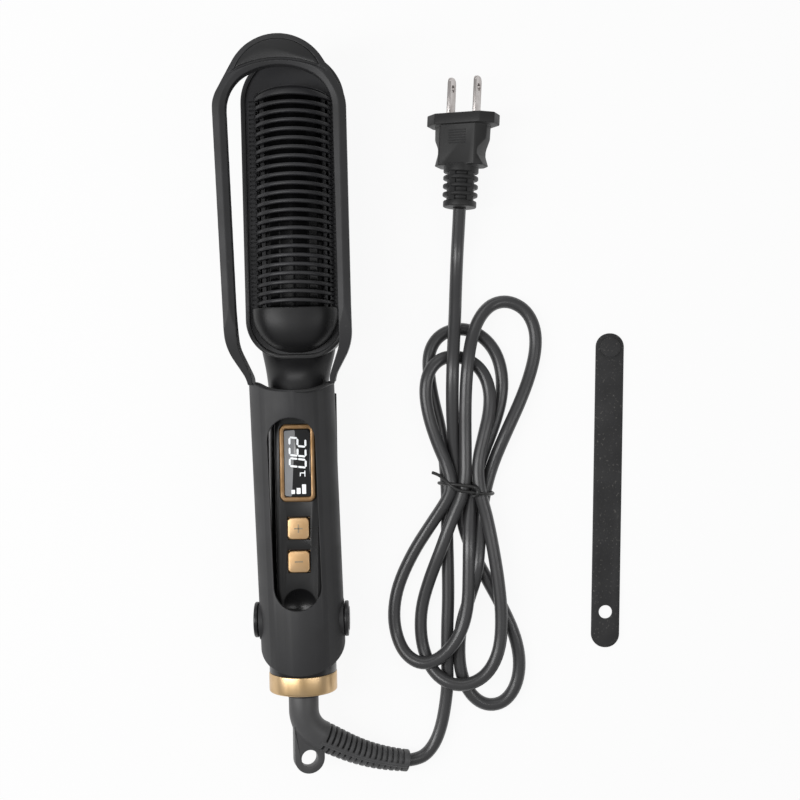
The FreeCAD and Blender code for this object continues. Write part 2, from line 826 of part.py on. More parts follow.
rear_half = between("RearHalf", of.handle_radius, of.core_end - 1.0, of.core_start + 1.0,
                    axis_height - of.handle_radius, axis_height)
board_low = axis_height + of.board_top - of.board_thickness
board_half = core_radius - of.core_wall - of.board_gap
post_low = axis_height - core_radius + of.core_wall + 1.0
board_posts = [rod("BoardPost", "Z", of.board_post, (x, y, post_low), board_low - post_low)
               for x in (board_half - of.board_post_side, of.board_post_side - board_half)
               for y in (of.board_front - of.board_post_front, of.board_back + of.board_post_back)]
rear_skin = cut("RearSkin", common("RearTube", shell_form, rear_half), tube_bore, pin_bore)
node(fuse("CoreRear", rear_skin, *board_posts), "core_rear")

# ---------------------------------------------------------------- display, buttons and board

def plate(label, half, back, front, corner, low, high):
    """A plate with rounded corners, centred across the brush."""
    return extrude(label, "XY", [(half, front, corner), (half, back, corner), (-half, back, corner),
                                 (-half, front, corner)], low, high)


bezel_top = panel_top + of.bezel_rise
bezel = cut("Bezel", plate("BezelFrame", of.bezel_half, of.bezel_back, of.bezel_front, of.bezel_corner,
                           panel_top, bezel_top),
            plate("BezelOpening", of.glass_half + of.seat_gap, glass_back - of.seat_gap,
                  glass_front + of.seat_gap, of.glass_corner, panel_top - 1.0, bezel_top + 1.0))
node(bezel, "screen_bezel")
node(plate("Lens", of.glass_half, glass_back, glass_front, of.glass_corner, panel_top,
           panel_top + of.lens_thickness), "screen_lens")
lcd_top = panel_under
node(box("Lcd", (-of.glass_half - of.lcd_margin, glass_back - of.lcd_margin, lcd_top - of.lcd_thickness),
         (of.glass_half + of.lcd_margin, glass_front + of.lcd_margin, lcd_top)), "lcd_module")

button_top = panel_top + of.button_rise
flange_top = panel_under - of.running_gap
flange_low = flange_top - of.button_flange_thickness
for name, station in (("plus_button", of.plus_station), ("minus_button", of.minus_station)):
    cap = plate(name + "_cap", of.button_half, station - of.button_half, station + of.button_half,
                of.button_corner, flange_low, button_top)
    flange_half = of.button_half + of.button_flange
    rim = between(name + "_rim", flange_half, station - flange_half, station + flange_half, flange_low,
                  flange_top)
    node(fuse(name + "_solid", cap, rim), name)

board_high = axis_height + of.board_top
switch_top = flange_low - of.button_travel - of.seat_gap * 2
switches = [between("Switch", of.switch_half, station - of.switch_half, station + of.switch_half, board_high,
                    switch_top) for station in (of.plus_station, of.minus_station)]
node(fuse("Switches", *switches), "tact_switches")
node(between("Board", board_half, of.board_back, of.board_front, board_low, board_high), "main_board")

# ---------------------------------------------------------------- rear cover

cover_front = of.rear_start
cover_length = of.lever_lip - of.core_end + of.lip_radius / 2


def cover_ring(label, radius):
    """A tube of the covers' wall about the handle's axis."""
    return cut(label, rod(label + "Outer", "Y", radius, (0.0, of.core_end, axis_height), cover_length),
               rod(label + "Inner", "Y", radius - of.lever_wall, (0.0, of.core_end - 1.0, axis_height),
                   cover_length + 2.0))


rear_radius = of.handle_radius - of.rear_inset
rear_top = axis_height - of.lever_skirt - of.rear_gap
rear_room = between("RearRoom", of.handle_radius + 1.0, of.core_end + 0.5, cover_front,
                    axis_height - of.handle_radius - 1.0, rear_top)


def tail_wedge(label, sign):
    """What is cut from the tail of a cover, so that its end runs back to a round tongue."""
    return extrude(label, "YZ", [
        (of.cover_end + of.tongue_reach, axis_height - of.handle_radius * sign, 0.0),
        (of.core_end - 5.0, axis_height - of.handle_radius * sign, 0.0),
        (of.core_end - 5.0, axis_height + of.handle_radius * sign, 0.0),
        (of.cover_end - of.tongue_reach, axis_height + of.handle_radius * sign, 0.0),
    ], -of.handle_radius - 1.0, of.handle_radius + 1.0)


def seat_rib(station):
    """A ring inside the rear cover that rests on the core tube."""
    outer = rod("SeatRibOuter", "Y", rear_radius - of.lever_wall + of.seat_gap * 2,
                (0.0, station, axis_height), of.seat_rib)
    inner = rod("SeatRibInner", "Y", core_radius + of.seat_gap / 2, (0.0, station - 1.0, axis_height),
                of.seat_rib + 2.0)
    return cut("SeatRib", outer, inner)


ribs = [seat_rib(cover_front - of.seat_rib_inset), seat_rib((cover_front + of.pivot_station) / 2),
        seat_rib(of.pivot_station - of.seat_rib_inset * 1.7)]
rear_form = common("RearForm", fuse("RearRings", cover_ring("RearRing", rear_radius), *ribs), rear_room)
ear_room = rod("EarRoom", "X", of.ear_radius + of.pivot_play + of.running_gap,
               (-of.handle_radius - 2.0, of.pivot_station, axis_height), of.handle_radius * 2 + 4.0)
node(cut("RearCover", rear_form, ear_room, tail_wedge("RearTail", -1.0)), "rear_cover")

# ---------------------------------------------------------------- lever

open_turn = FreeCAD.Placement(FreeCAD.Vector(), FreeCAD.Rotation(FreeCAD.Vector(1, 0, 0), float(of.lever_open)),
                              pivot_point).multiply(play_turn)

lever_room = between("LeverRoom", of.handle_radius + 1.0, of.core_end - 1.0, of.lever_split,
                     axis_height - of.lever_skirt, axis_height + of.handle_radius + 1.0)
lever_skin = common("LeverSkin", cover_ring("LeverRing", of.handle_radius), lever_room)
lip = rod("Lip", "Z", of.lip_radius, (0.0, of.lever_lip + of.lip_radius, 0.0), of.handle_radius * 3)
window = plate("Window", of.window_half, of.window_back, of.window_front, of.window_half - 0.3, axis_height,
               axis_height + of.handle_radius * 2)
ears = [rod("EarRight", "X", of.ear_radius, (ear_inner, of.pivot_station, axis_height),
            of.handle_radius - ear_inner),
        rod("EarLeft", "X", of.ear_radius, (-of.handle_radius, of.pivot_station, axis_height),
            of.handle_radius - ear_inner)]
ear_bore = rod("EarBore", "X", of.pivot_radius + of.pivot_play,
               (-of.handle_radius - 1.0, of.pivot_station, axis_height), of.handle_radius * 2 + 2.0)
shaped_cover = cut("ShapedCover", lever_skin, lip, window, tail_wedge("LeverTail", 1.0))
lever_closed = cut("LeverCover", fuse("LeverEars", shaped_cover, *ears), ear_bore)
doc.recompute()
node(feature("LeverCoverOpen", lever_closed.Shape, open_turn), "lever_cover")


def hoop_outline(inset):
    """The outer plan outline of the closed hoop, or one that lies inside it by an inset."""
    foot = of.handle_radius - inset
    return mirrored([
        (0.0, of.hoop_tip_corner - inset * 1.9, of.hoop_tip_round - inset),
        (of.hoop_shoulder_half - inset, of.hoop_shoulder - inset * 0.5, of.hoop_shoulder_round - inset),
        (of.hoop_knee_half - inset, of.hoop_knee, of.hoop_knee_round - inset),
        (foot, of.hoop_foot, of.hoop_foot_round),
        (foot, of.lever_split - 5.0, 0.0),
    ])


def tapered(lower, upper, low, high):
    """A solid whose sides slope from one outline to another."""
    wires = []
    for corners, height in ((lower, low), (upper, high)):
        wire = rounded_wire(corners)
        wire.translate(FreeCAD.Vector(0, 0, float(height)))
        wires.append(wire)
    return Part.makeLoft(wires, True, True)


hoop_top = axis_height + of.handle_radius
foot_high = axis_height + of.hoop_drop_top
foot_low = axis_height - of.lever_skirt
hoop_side = [
    (of.hoop_tip_corner, hoop_top, 0.0),
    (of.hoop_tip_corner, hoop_low, 0.0),
    (of.hoop_drop_start, hoop_low, 40.0),
    (of.lever_split - 1.0, foot_low, 0.0),
    (of.lever_split - 5.0, foot_low, 0.0),
    (of.lever_split - 5.0, foot_high - 1.5, 0.0),
    (of.hoop_drop_start - 2.0, hoop_top, 60.0),
]
crest_low = hoop_top - of.crest_depth
hoop_ring = slab(hoop_outline(0.0), 0.0, crest_low)
hoop_ring = hoop_ring.fuse(tapered(hoop_outline(0.0), hoop_outline(of.crest_outer), crest_low, hoop_top))
hoop_ring = hoop_ring.cut(slab(hoop_hole(0.0), -1.0, crest_low))
hoop_ring = hoop_ring.cut(tapered(hoop_hole(0.0), hoop_hole(-of.crest_inner), crest_low, hoop_top))
hoop = hoop_ring.common(side_slab(hoop_side, of.hoop_shoulder_half * 1.2))
split_room = box_between(of.hoop_shoulder_half * 2, of.lever_split - of.hoop_depth * 2, of.lever_split, 0.0,
                         hoop_top * 2)
hoop = hoop.cut(split_room)


def disc(radius, tip, low, high):
    """An upright cylinder whose rim reaches a station at its front."""
    return Part.makeCylinder(float(radius), float(high) - float(low),
                             FreeCAD.Vector(0, float(tip) - float(radius), float(low)))


inlay_low = hoop_top - of.inlay_thickness
crescent = disc(of.inlay_radius, of.inlay_tip, inlay_low, hoop_top + 1.0)
crescent = crescent.cut(disc(of.inlay_arc, of.inlay_arc_tip, inlay_low - 1.0, hoop_top + 2.0))
groove = disc(of.inlay_arc, of.inlay_arc_tip, inlay_low, hoop_top + 1.0)
groove = groove.cut(disc(of.inlay_arc - of.inlay_groove, of.inlay_arc_tip - of.inlay_groove, inlay_low - 1.0,
                         hoop_top + 2.0))
cap_back = of.inlay_tip - of.inlay_radius * 1.15
front_room = box_between(of.hoop_shoulder_half, cap_back, of.hoop_tip_corner, inlay_low, hoop_top + 1.0)
hoop = hoop.cut(crescent).cut(groove.common(front_room))
node(feature("Hoop", hoop, open_turn), "guard_hoop")
inlay = crescent.common(box_between(of.hoop_shoulder_half, cap_back, of.hoop_tip_corner, inlay_low, hoop_top))
node(feature("Inlay", inlay, open_turn), "tip_inlay")

lever_reach = of.spring_station - of.pivot_station
side_reach = of.spring_radius + lever_reach * math.tan(math.radians(float(of.lever_play)))
dome = math.sqrt(float(of.handle_radius - of.lever_wall) ** 2 - float(side_reach) ** 2)
lifted = (dome * math.cos(math.radians(float(of.lever_open)))
          + float(lever_reach) * math.sin(math.radians(float(of.lever_open))))
spring_high = float(axis_height) + lifted - 0.4
spring = Part.makeCylinder(float(of.spring_radius), spring_high - float(spring_low) - 0.05,
                           FreeCAD.Vector(0, float(of.spring_station), float(spring_low) + 0.05))
spring = spring.cut(Part.makeCylinder(float(of.spring_radius - of.spring_wire), spring_high,
                                      FreeCAD.Vector(0, float(of.spring_station), float(axis_height))))
node(feature("Spring", spring), "lever_spring")

# ---------------------------------------------------------------- pivot pins and power button

ear_seat = of.handle_radius + of.running_gap
pivot_root = core_radius - of.pivot_depth
node(fuse("PinLeft",
          rod("PinLeftShank", "X", of.pivot_radius, (-ear_seat, of.pivot_station, axis_height),
              ear_seat - pivot_root),
          rod("PinLeftDisc", "X", of.disc_radius, (-disc_left_face, of.pivot_station, axis_height),
              disc_left_face - ear_seat)), "pivot_pin_left")
pin_right = fuse("PinRight",
                 rod("PinRightShank", "X", of.pivot_radius, (pivot_root, of.pivot_station, axis_height),
                     ear_seat - pivot_root),
                 rod("PinRightDisc", "X", of.disc_radius, (ear_seat, of.pivot_station, axis_height),
                     disc_right_face - ear_seat))
recess_floor = power_face - of.power_head - of.power_travel - of.seat_gap * 2
node(cut("PinRightHollow", pin_right,
         rod("PowerRecess", "X", of.power_radius + of.button_gap, (recess_floor, of.pivot_station, axis_height),
             power_face),
         rod("StemHole", "X", of.power_stem + of.button_gap, (0.0, of.pivot_station, axis_height),
             power_face)), "pivot_pin_right")
node(fuse("PowerButton",
          rod("PowerHead", "X", of.power_radius, (power_face - of.power_head, of.pivot_station, axis_height),
              of.power_head),
          rod("PowerStem", "X", of.power_stem, (stem_end, of.pivot_station, axis_height),
              power_face - of.power_head - stem_end)), "power_button")
switch_face = stem_end - of.power_travel - of.seat_gap * 2
node(box("PowerSwitch",
         (switch_face - of.power_switch_depth, of.pivot_station - of.power_switch_half,
          board_low - of.power_switch_drop),
         (switch_face, of.pivot_station + of.power_switch_half, board_low)), "power_switch")

# ---------------------------------------------------------------- end ring and swivel

collar_outer = core_radius - of.core_wall - of.seat_gap
collar_inner = collar_outer - of.ring_wall
ring_radius = of.handle_radius - of.ring_drop
swivel_bore = ring_radius * of.swivel_bore_share
swivel_flange = collar_inner - of.swivel_flange_gap
swivel_collar = swivel_bore + of.swivel_collar_step
floor_front = of.ring_end + of.ring_floor
node(turned("EndRing", [
    (ring_radius, of.core_end, 0.0),
    (ring_radius, of.ring_end, of.ring_round),
    (swivel_bore, of.ring_end, 0.0),
    (swivel_bore, floor_front, 0.0),
    (collar_inner, floor_front, 0.0),
    (collar_inner, of.core_end + of.ring_collar, 0.0),
    (collar_outer, of.core_end + of.ring_collar, 0.0),
    (collar_outer, of.core_end, 0.0),
]), "gold_end_ring")
shaft = swivel_bore - of.seat_gap
flange_back = floor_front + of.running_gap
flange_front = flange_back + of.swivel_flange_thickness
hub_front = flange_front + of.hub_length
collar_front = of.ring_end - of.running_gap
wire_hole_radius = of.hub_radius - 1.6
node(turned("Barrel", [
    (wire_hole_radius, hub_front, 0.0),
    (of.hub_radius, hub_front, 0.0),
    (of.hub_radius, flange_front, 0.0),
    (swivel_flange, flange_front, 0.0),
    (swivel_flange, flange_back, 0.0),
    (shaft, flange_back, 0.0),
    (shaft, collar_front, 0.0),
    (swivel_collar, collar_front, 0.0),
    (swivel_collar, of.relief_start, 0.0),
    (wire_hole_radius, of.relief_start, 0.0),
]), "swivel_barrel")
ring_stations = [flange_front + 1.0, flange_front + 1.0 + of.slip_ring_pitch]
slip = [cut("SlipRing", rod("SlipOuter", "Y", of.slip_ring_radius, (0.0, station, axis_height),
                            of.slip_ring_width),
            rod("SlipBore", "Y", of.hub_radius + of.seat_gap / 2, (0.0, station - 1.0, axis_height),
                of.slip_ring_width + 2.0)) for station in ring_stations]
node(fuse("SlipRings", *slip), "slip_rings")
holder_back = of.core_end + of.ring_collar + of.running_gap
holder_disc = cut("HolderDisc", rod("HolderRound", "Y", collar_outer, (0.0, holder_back, axis_height),
                                    of.holder_thickness),
                  rod("HolderHole", "Y", of.slip_ring_radius + 1.0, (0.0, holder_back - 1.0, axis_height),
                      of.holder_thickness + 2.0))
contact_high = axis_height - of.slip_ring_radius - of.running_gap
contact_low = contact_high - of.contact_thickness
arm = between("HolderArm", of.holder_half / 2, ring_stations[0], holder_back + 1.0,
              contact_low - of.holder_thickness, contact_low)
node(fuse("Holder", holder_disc, arm), "contact_holder")
contacts = [between("Contact", of.contact_width, station, station + of.slip_ring_width, contact_low,
                    contact_high) for station in ring_stations]
node(fuse("Contacts", *contacts), "brush_contacts")


# ---------------------------------------------------------------- strain relief

relief_place = FreeCAD.Placement(
    FreeCAD.Vector(0, float(of.relief_start), float(axis_height)),
    FreeCAD.Rotation(FreeCAD.Vector(0, 1, 0), float(of.relief_tilt)))


def heading(angle):
    """A direction in the XY plane, turned from -Y towards +X."""
    return FreeCAD.Vector(math.sin(math.radians(angle)), -math.cos(math.radians(angle)), 0)


def relief_path():
    """Edges of the strain relief's middle line, with the angle at each end of each edge."""
    steps = [
        (of.relief_straight, 0.0), (of.relief_bend, of.relief_bend_angle), (of.relief_run, 0.0),
        (of.relief_sweep, of.relief_sweep_angle), (of.relief_tail, 0.0),
    ]
    point, angle, edges = FreeCAD.Vector(), 0.0, []
    for size, turn in steps:
        start, radius = point, float(size)
        if float(turn) == 0:
            point = start + heading(angle) * radius
            edges.append(Part.LineSegment(start, point).toShape())
            continue
        side = FreeCAD.Vector(math.cos(math.radians(angle)), math.sin(math.radians(angle)), 0)
        centre = start + side * radius
        half = angle + float(turn) / 2
        angle = angle + float(turn)
        middle = centre - FreeCAD.Vector(math.cos(math.radians(half)), math.sin(math.radians(half)), 0) * radius
        point = centre - FreeCAD.Vector(math.cos(math.radians(angle)), math.sin(math.radians(angle)), 0) * radius
        edges.append(Part.Arc(start, middle, point).toShape())
    return edges, point, angle


def pipe(edges, radius):
    """A round tube along edges that join end to end."""
    path = Part.Wire(edges)
    start = path.OrderedEdges[0]
    ring = Part.Wire([Part.makeCircle(float(radius), start.valueAt(start.FirstParameter),
                                      start.tangentAt(start.FirstParameter))])
    return path.makePipeShell([ring], True, False, 2)


relief_edges, relief_end, relief_heading = relief_path()
boot = pipe(relief_edges[:2], of.relief_root_radius)
inner_cord = pipe(relief_edges[1:], of.relief_core_radius)
ribbed = Part.Wire(relief_edges[2:])
rib_path = ribbed.discretize(int(float(of.relief_ribs)) * 2 + 1)
relief_ribs = []
for index in range(int(float(of.relief_ribs))):
    near, far = rib_path[2 * index], rib_path[2 * index + 1]
    share = index / (float(of.relief_ribs) - 1)
    radius = float(of.relief_root_radius) + (float(of.relief_end_radius) - float(of.relief_root_radius)) * share
    relief_ribs.append(Part.makeCylinder(radius, float(of.relief_rib), near, far - near))
end_direction = heading(relief_heading)
end_ring = Part.makeCylinder(float(of.relief_end_radius), float(of.relief_rib),
                             relief_end - end_direction * float(of.relief_rib), end_direction)
eye_centre = FreeCAD.Vector(float(of.eye_across), -float(of.eye_along), 0)
half_eye = float(of.eye_thickness) / 2
eye = Part.makeCylinder(float(of.eye_radius), 2 * half_eye, eye_centre - UP * half_eye)
web = Part.makeBox(2 * float(of.eye_radius), float(of.eye_along) - float(of.relief_bend), 2 * half_eye,
                   eye_centre + FreeCAD.Vector(-float(of.eye_radius), 0, -half_eye))
eye_bore = Part.makeCylinder(float(of.eye_bore), 4 * half_eye, eye_centre - UP * 2 * half_eye)
relief = boot.fuse([inner_cord, end_ring, eye, web] + relief_ribs).cut(eye_bore)
node(feature("Relief", relief, relief_place), "strain_relief")

# ---------------------------------------------------------------- cord


def route_edges(points):
    """Straight runs joined by tangent arcs, each as large as its two runs allow."""
    edges, last = [], points[0]
    for before, corner, after in zip(points, points[1:], points[2:]):
        back, ahead = before - corner, after - corner
        half = back.getAngle(ahead) / 2
        reach = 0.45 * min(back.Length, ahead.Length)
        radius = reach * math.tan(half)
        back.normalize()
        ahead.normalize()
        start, end = corner + back * reach, corner + ahead * reach
        middle = corner + (back + ahead).normalize() * (radius / math.sin(half) - radius)
        edges.append(Part.LineSegment(last, start).toShape())
        edges.append(Part.Arc(start, middle, end).toShape())
        last = end
    edges.append(Part.LineSegment(last, points[-1]).toShape())
    return edges


def cord(label, points):
    """A tube of the cord along hand-laid points."""
    return node(feature(label, pipe(route_edges(points), of.cord_radius)), label)


cord_start = relief_place.multVec(relief_end)
cord_heading = relief_place.Rotation.multVec(end_direction)
LEAD = [(57.1, -253.1, 3.4), (62.3, -249.1, 3.1), (65.6, -243.0, 3.0), (67.1, -234.1, 3.0), (66.3, -222.5, 3.0),
        (65.6, -211.0, 3.0)]
TAIL = [(71.6, -58.0, 8.6), (72.0, -46.0, 5.8), (72.6, -33.0, 3.8), (73.2, -20.5, 4.8), (73.8, -9.0, 8.9)]
lead_points = [cord_start, cord_start + cord_heading * 5.5] + [FreeCAD.Vector(*point) for point in LEAD]
cord("cord_lead", lead_points)
plug_foot = FreeCAD.Vector(float(of.plug_across), float(of.plug_station), float(of.plug_height))
cord("cord_tail", [FreeCAD.Vector(*point) for point in TAIL] + [plug_foot])

HANK = [
    (57.1, -54.2, 12.0), (80.6, -52.6, 6.0), (86.5, -41.0, 10.0), (110.5, -41.3, 15.0), (108.3, -87.4, 40.0),
    (87.6, -124.6, 20.0), (88.2, -137.7, 20.0), (101.5, -211.5, 24.0), (98.6, -232.1, 12.0),
    (70.6, -230.8, 10.0), (64.4, -216.8, 8.0), (40.6, -206.9, 14.0), (39.2, -175.9, 24.0),
    (63.3, -131.7, 20.0), (63.1, -115.7, 20.0),
]
hank = slab(HANK, 0.2, of.hank_height)
node(feature("Hank", hank), "cord_hank")

tie_loop = slab([(of.tie_half_width + 1.5, of.hank_height + 1.8, 5.0), (of.tie_half_width + 1.5, 0.0, 2.0),
                 (-of.tie_half_width - 1.5, 0.0, 2.0), (-of.tie_half_width - 1.5, of.hank_height + 1.8, 5.0)],
                0.0, of.tie_radius * 2)
tie_hole = slab([(of.tie_half_width, of.hank_height + 0.1, 3.5), (of.tie_half_width, 0.15, 1.0),
                 (-of.tie_half_width, 0.15, 1.0), (-of.tie_half_width, of.hank_height + 0.1, 3.5)],
                -1.0, of.tie_radius * 2 + 1)
tie = tie_loop.cut(tie_hole)
tie.rotate(FreeCAD.Vector(), FreeCAD.Vector(1, 0, 0), 90)
tie_place = FreeCAD.Placement(FreeCAD.Vector(float(of.tie_across), float(of.tie_along), 0),
                              FreeCAD.Rotation(UP, float(of.tie_turn)))
node(feature("Tie", tie, tie_place), "twist_tie")

# ---------------------------------------------------------------- plug

plug_place = FreeCAD.Placement(plug_foot, FreeCAD.Rotation(UP, float(of.plug_yaw)).multiply(
    FreeCAD.Rotation(FreeCAD.Vector(0, 1, 0), float(of.plug_roll))))
ALONG = FreeCAD.Vector(0, 1, 0)


def along(radius, start, length):
    return Part.makeCylinder(float(radius), float(length), FreeCAD.Vector(0, float(start), 0), ALONG)


def six_sided(half, flat, thickness, shoulder, start, end):
    """A prism along the plug whose section is a stretched hexagon with blunt sides."""
    prism = slab(mirrored([(shoulder, thickness, 1.5), (half, flat, 1.0), (half, -flat, 1.0),
                           (shoulder, -thickness, 1.5)]), 0.0, end - start)
    prism.rotate(FreeCAD.Vector(), FreeCAD.Vector(1, 0, 0), -90)
    prism.translate(FreeCAD.Vector(0, float(start), 0))
    return prism


flange_start = of.plug_length - of.flange_depth
plug_hex = six_sided(of.plug_body_half, 2.2, of.plug_body_thickness, of.plug_body_shoulder, of.plug_tail - 0.5,
                     flange_start + 1.0)
plug_plan = slab(mirrored([
    (of.plug_body_half, of.plug_length, 0.0),
    (of.plug_body_half - 0.4, of.plug_waist_along + 5.5, 3.0),
    (of.plug_waist_half, of.plug_waist_along + 1.0, 4.0),
    (of.plug_waist_half, of.plug_waist_along - 1.5, 2.0),
    (of.plug_body_half - 1.2, of.plug_tail, 0.6),
    (of.plug_body_half - 1.2, of.plug_tail - 1.5, 0.4),
]), -20.0, 20.0)
flange = six_sided(of.flange_half, of.flange_flat, of.flange_half_thickness, of.flange_shoulder, flange_start,
                   of.plug_length)
plug_parts = [flange, along(of.plug_sleeve_radius, 0.0, of.plug_tail),
              along(of.plug_rib_radius, of.plug_tail - 3.4, 3.4),
              along(of.plug_rib_radius - 0.4, 0.0, 2.8)]
for index in range(3):
    plug_parts.append(along(of.plug_rib_radius, 4.8 + float(of.plug_rib_pitch) * index, of.plug_rib))
plug = plug_hex.common(plug_plan).fuse(plug_parts)
node(feature("Plug", plug, plug_place), "plug_body")

blades = []
for side in (-1, 1):
    blade = side_slab([(of.plug_length, -of.blade_half, 0.0), (of.plug_length, of.blade_half, 0.0),
                       (of.plug_length + of.blade_length, of.blade_half, 2.4),
                       (of.plug_length + of.blade_length, -of.blade_half, 2.4)], of.blade_thickness / 2)
    hole = Part.makeCylinder(float(of.blade_bore), 6.0,
                             FreeCAD.Vector(-3, float(of.plug_length + of.blade_length - of.blade_bore_inset), 0),
                             FreeCAD.Vector(1, 0, 0))
    blade = blade.cut(hole)
    blade.translate(FreeCAD.Vector(side * float(of.blade_spacing) / 2, 0, 0))
    blades.append(blade)
node(feature("Blades", Part.makeCompound(blades), plug_place), "plug_blades")

# ---------------------------------------------------------------- strap

strap_half_length = of.strap_length / 2
strap_place = FreeCAD.Placement(FreeCAD.Vector(float(of.strap_across), float(of.strap_along), 0),
                                FreeCAD.Rotation(UP, float(of.strap_turn)))
strap = slab([(of.strap_half, strap_half_length, of.strap_half - 0.2),
              (of.strap_half, -strap_half_length, of.strap_half - 0.2),
              (-of.strap_half, -strap_half_length, of.strap_half - 0.2),
              (-of.strap_half, strap_half_length, of.strap_half - 0.2)], 0.0, of.strap_thickness)
strap = strap.cut(Part.makeCylinder(float(of.strap_hole), 9.0, FreeCAD.Vector(
    0, float(of.strap_hole_inset) - float(strap_half_length), -4.0)))
node(feature("Strap", strap, strap_place), "cord_strap")
stud = Part.makeCylinder(float(of.stud_radius), float(of.stud_height), FreeCAD.Vector(
    0, float(strap_half_length) - float(of.stud_inset), float(of.strap_thickness)))
node(feature("Stud", stud, strap_place), "strap_stud")

# ---------------------------------------------------------------- checks and export

doc.recompute()
for item in doc.Objects:
    if {"Invalid", "Error"} & set(item.State):
        raise ValueError("failed to rebuild " + item.Label)
for item in nodes:
    if item.Shape.isNull() or not item.Shape.isValid() or not item.Shape.Solids:
        raise ValueError("no valid solid in " + item.Label)
os.makedirs("parts", exist_ok=True)
for item in nodes:
    item.Shape.exportStep("parts/%s.step" % item.Label)
print("%d sub-parts" % len(nodes))
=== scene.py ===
"""Looks of a heated hair straightener brush: a brush with a squeeze lever, its cord and a loose strap.

Lengths and places are in millimetres, and vertices and Blender's own values are in metres.
"""

import json
import logging
import math
from dataclasses import dataclass
from enum import Enum
from functools import cache
from typing import Callable, Iterable, Optional, Sequence

import bmesh
import bpy
from mathutils import Matrix, Vector

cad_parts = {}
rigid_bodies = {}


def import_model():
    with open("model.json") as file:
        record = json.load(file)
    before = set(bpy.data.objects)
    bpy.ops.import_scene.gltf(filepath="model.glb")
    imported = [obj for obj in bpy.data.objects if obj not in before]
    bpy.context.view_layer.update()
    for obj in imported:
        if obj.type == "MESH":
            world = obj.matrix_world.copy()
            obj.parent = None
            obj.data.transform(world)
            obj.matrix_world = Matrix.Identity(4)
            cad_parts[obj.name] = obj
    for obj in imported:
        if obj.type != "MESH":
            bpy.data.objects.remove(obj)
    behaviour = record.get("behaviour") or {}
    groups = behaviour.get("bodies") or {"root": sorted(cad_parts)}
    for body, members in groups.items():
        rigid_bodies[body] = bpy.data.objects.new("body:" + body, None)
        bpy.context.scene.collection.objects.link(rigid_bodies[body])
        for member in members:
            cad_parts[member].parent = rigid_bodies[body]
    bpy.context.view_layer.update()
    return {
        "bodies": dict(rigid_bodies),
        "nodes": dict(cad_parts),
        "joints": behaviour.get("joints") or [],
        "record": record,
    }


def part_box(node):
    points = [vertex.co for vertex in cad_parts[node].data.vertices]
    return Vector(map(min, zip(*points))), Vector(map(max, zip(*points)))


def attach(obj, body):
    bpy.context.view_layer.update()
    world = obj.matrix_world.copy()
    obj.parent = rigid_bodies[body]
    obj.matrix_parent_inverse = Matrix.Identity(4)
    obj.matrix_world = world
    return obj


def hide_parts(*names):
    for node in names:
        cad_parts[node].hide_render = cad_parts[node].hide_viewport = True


LOG = logging.getLogger("brush")
MM = 0.001
# Vertices nearer to each other than this are joined, and faces are merged where they turn by less than this.
MERGE = 0.002
FLAT_DEGREES = 0.6
# How near to a plane a vertex on it lies, and how squarely a face looks along an axis.
TOUCH = 1e-3
FACING = 0.9
# The refractive index of plastics, and the lowest roughness of any surface.
PLASTIC_IOR = 1.5
GLOSSIEST = 0.02
# Which range of a noise, or of an edge's sharpness, gives which share of the second colour.
PATCHES = (0.35, 0.65, 0.0, 1.0)
DUST = (0.60, 0.72, 0.0, 0.8)
EDGE_TINT = (0.52, 0.60, 0.0, 0.7)
# Which range of the noise takes the gloss from its low end to its high end.
GLOSS = (0.3, 0.7)
Point = tuple[float, float, float]
Section = tuple[float, float, float, float]
Piece = bpy.types.Object
Tree = bpy.types.NodeTree
Socket = bpy.types.NodeSocket
MeshEdge = bmesh.types.BMEdge


# ---------------------------------------------------------------- colours and nodes

def linear(code: str) -> tuple[float, ...]:
    """Turns an sRGB hex colour to linear RGBA.

    Args:
        code: Six hex digits after a hash.

    Returns:
        The four linear channels.
    """
    channels = [int(code[i:i + 2], 16) / 255 for i in (1, 3, 5)]
    red, green, blue = [c / 12.92 if c <= 0.04045 else ((c + 0.055) / 1.055) ** 2.4 for c in channels]
    return red, green, blue, 1.0


def blank(owner: bpy.types.ID) -> Tree:
    """Gives a material or a world an empty node tree.

    Args:
        owner: The material or the world.

    Returns:
        The tree.
    """
    owner.use_nodes = True
    owner.node_tree.nodes.clear()
    return owner.node_tree


def add(tree: Tree, kind: str, settings: dict, links: dict) -> bpy.types.Node:
    """Adds a node with its settings and links.

    Args:
        tree: The material's node tree.
        kind: The node's type.
        settings: Attributes, and input values under the input's name or number.
        links: The output socket for each input's name or number.

    Returns:
        The new node.
    """
    node = tree.nodes.new(kind)
    for key, value in settings.items():
        if isinstance(key, str) and hasattr(node, key):
            setattr(node, key, value)
        else:
            node.inputs[key].default_value = value
    for key, socket in links.items():
        tree.links.new(socket, node.inputs[key])
    return node


def ramp(tree: Tree, source: Socket, low: float, high: float, to_low: float, to_high: float) -> Socket:
    """Maps a range of a value to another range.

    Args:
        tree: The material's node tree.
        source: The value.
        low: The value that gives to_low.
        high: The value that gives to_high.
        to_low: The low end of the result.
        to_high: The high end of the result.

    Returns:
        The mapped value's socket.
    """
    return add(tree, "ShaderNodeMapRange", {"clamp": True, 1: low, 2: high, 3: to_low, 4: to_high},
               {0: source}).outputs[0]


def blended(tree: Tree, share: Socket, first: object, second: object) -> Socket:
    """Mixes two colours, each a hex colour or a socket.

    Args:
        tree: The material's node tree.
        share: The share of the second colour.
        first: The first colour.
        second: The second colour.

    Returns:
        The mixed colour's socket.
    """
    settings, links = {"data_type": "RGBA"}, {0: share}
    for index, colour in ((6, first), (7, second)):
        if isinstance(colour, str):
            settings[index] = linear(colour)
        else:
            links[index] = colour
    return add(tree, "ShaderNodeMix", settings, links).outputs[2]


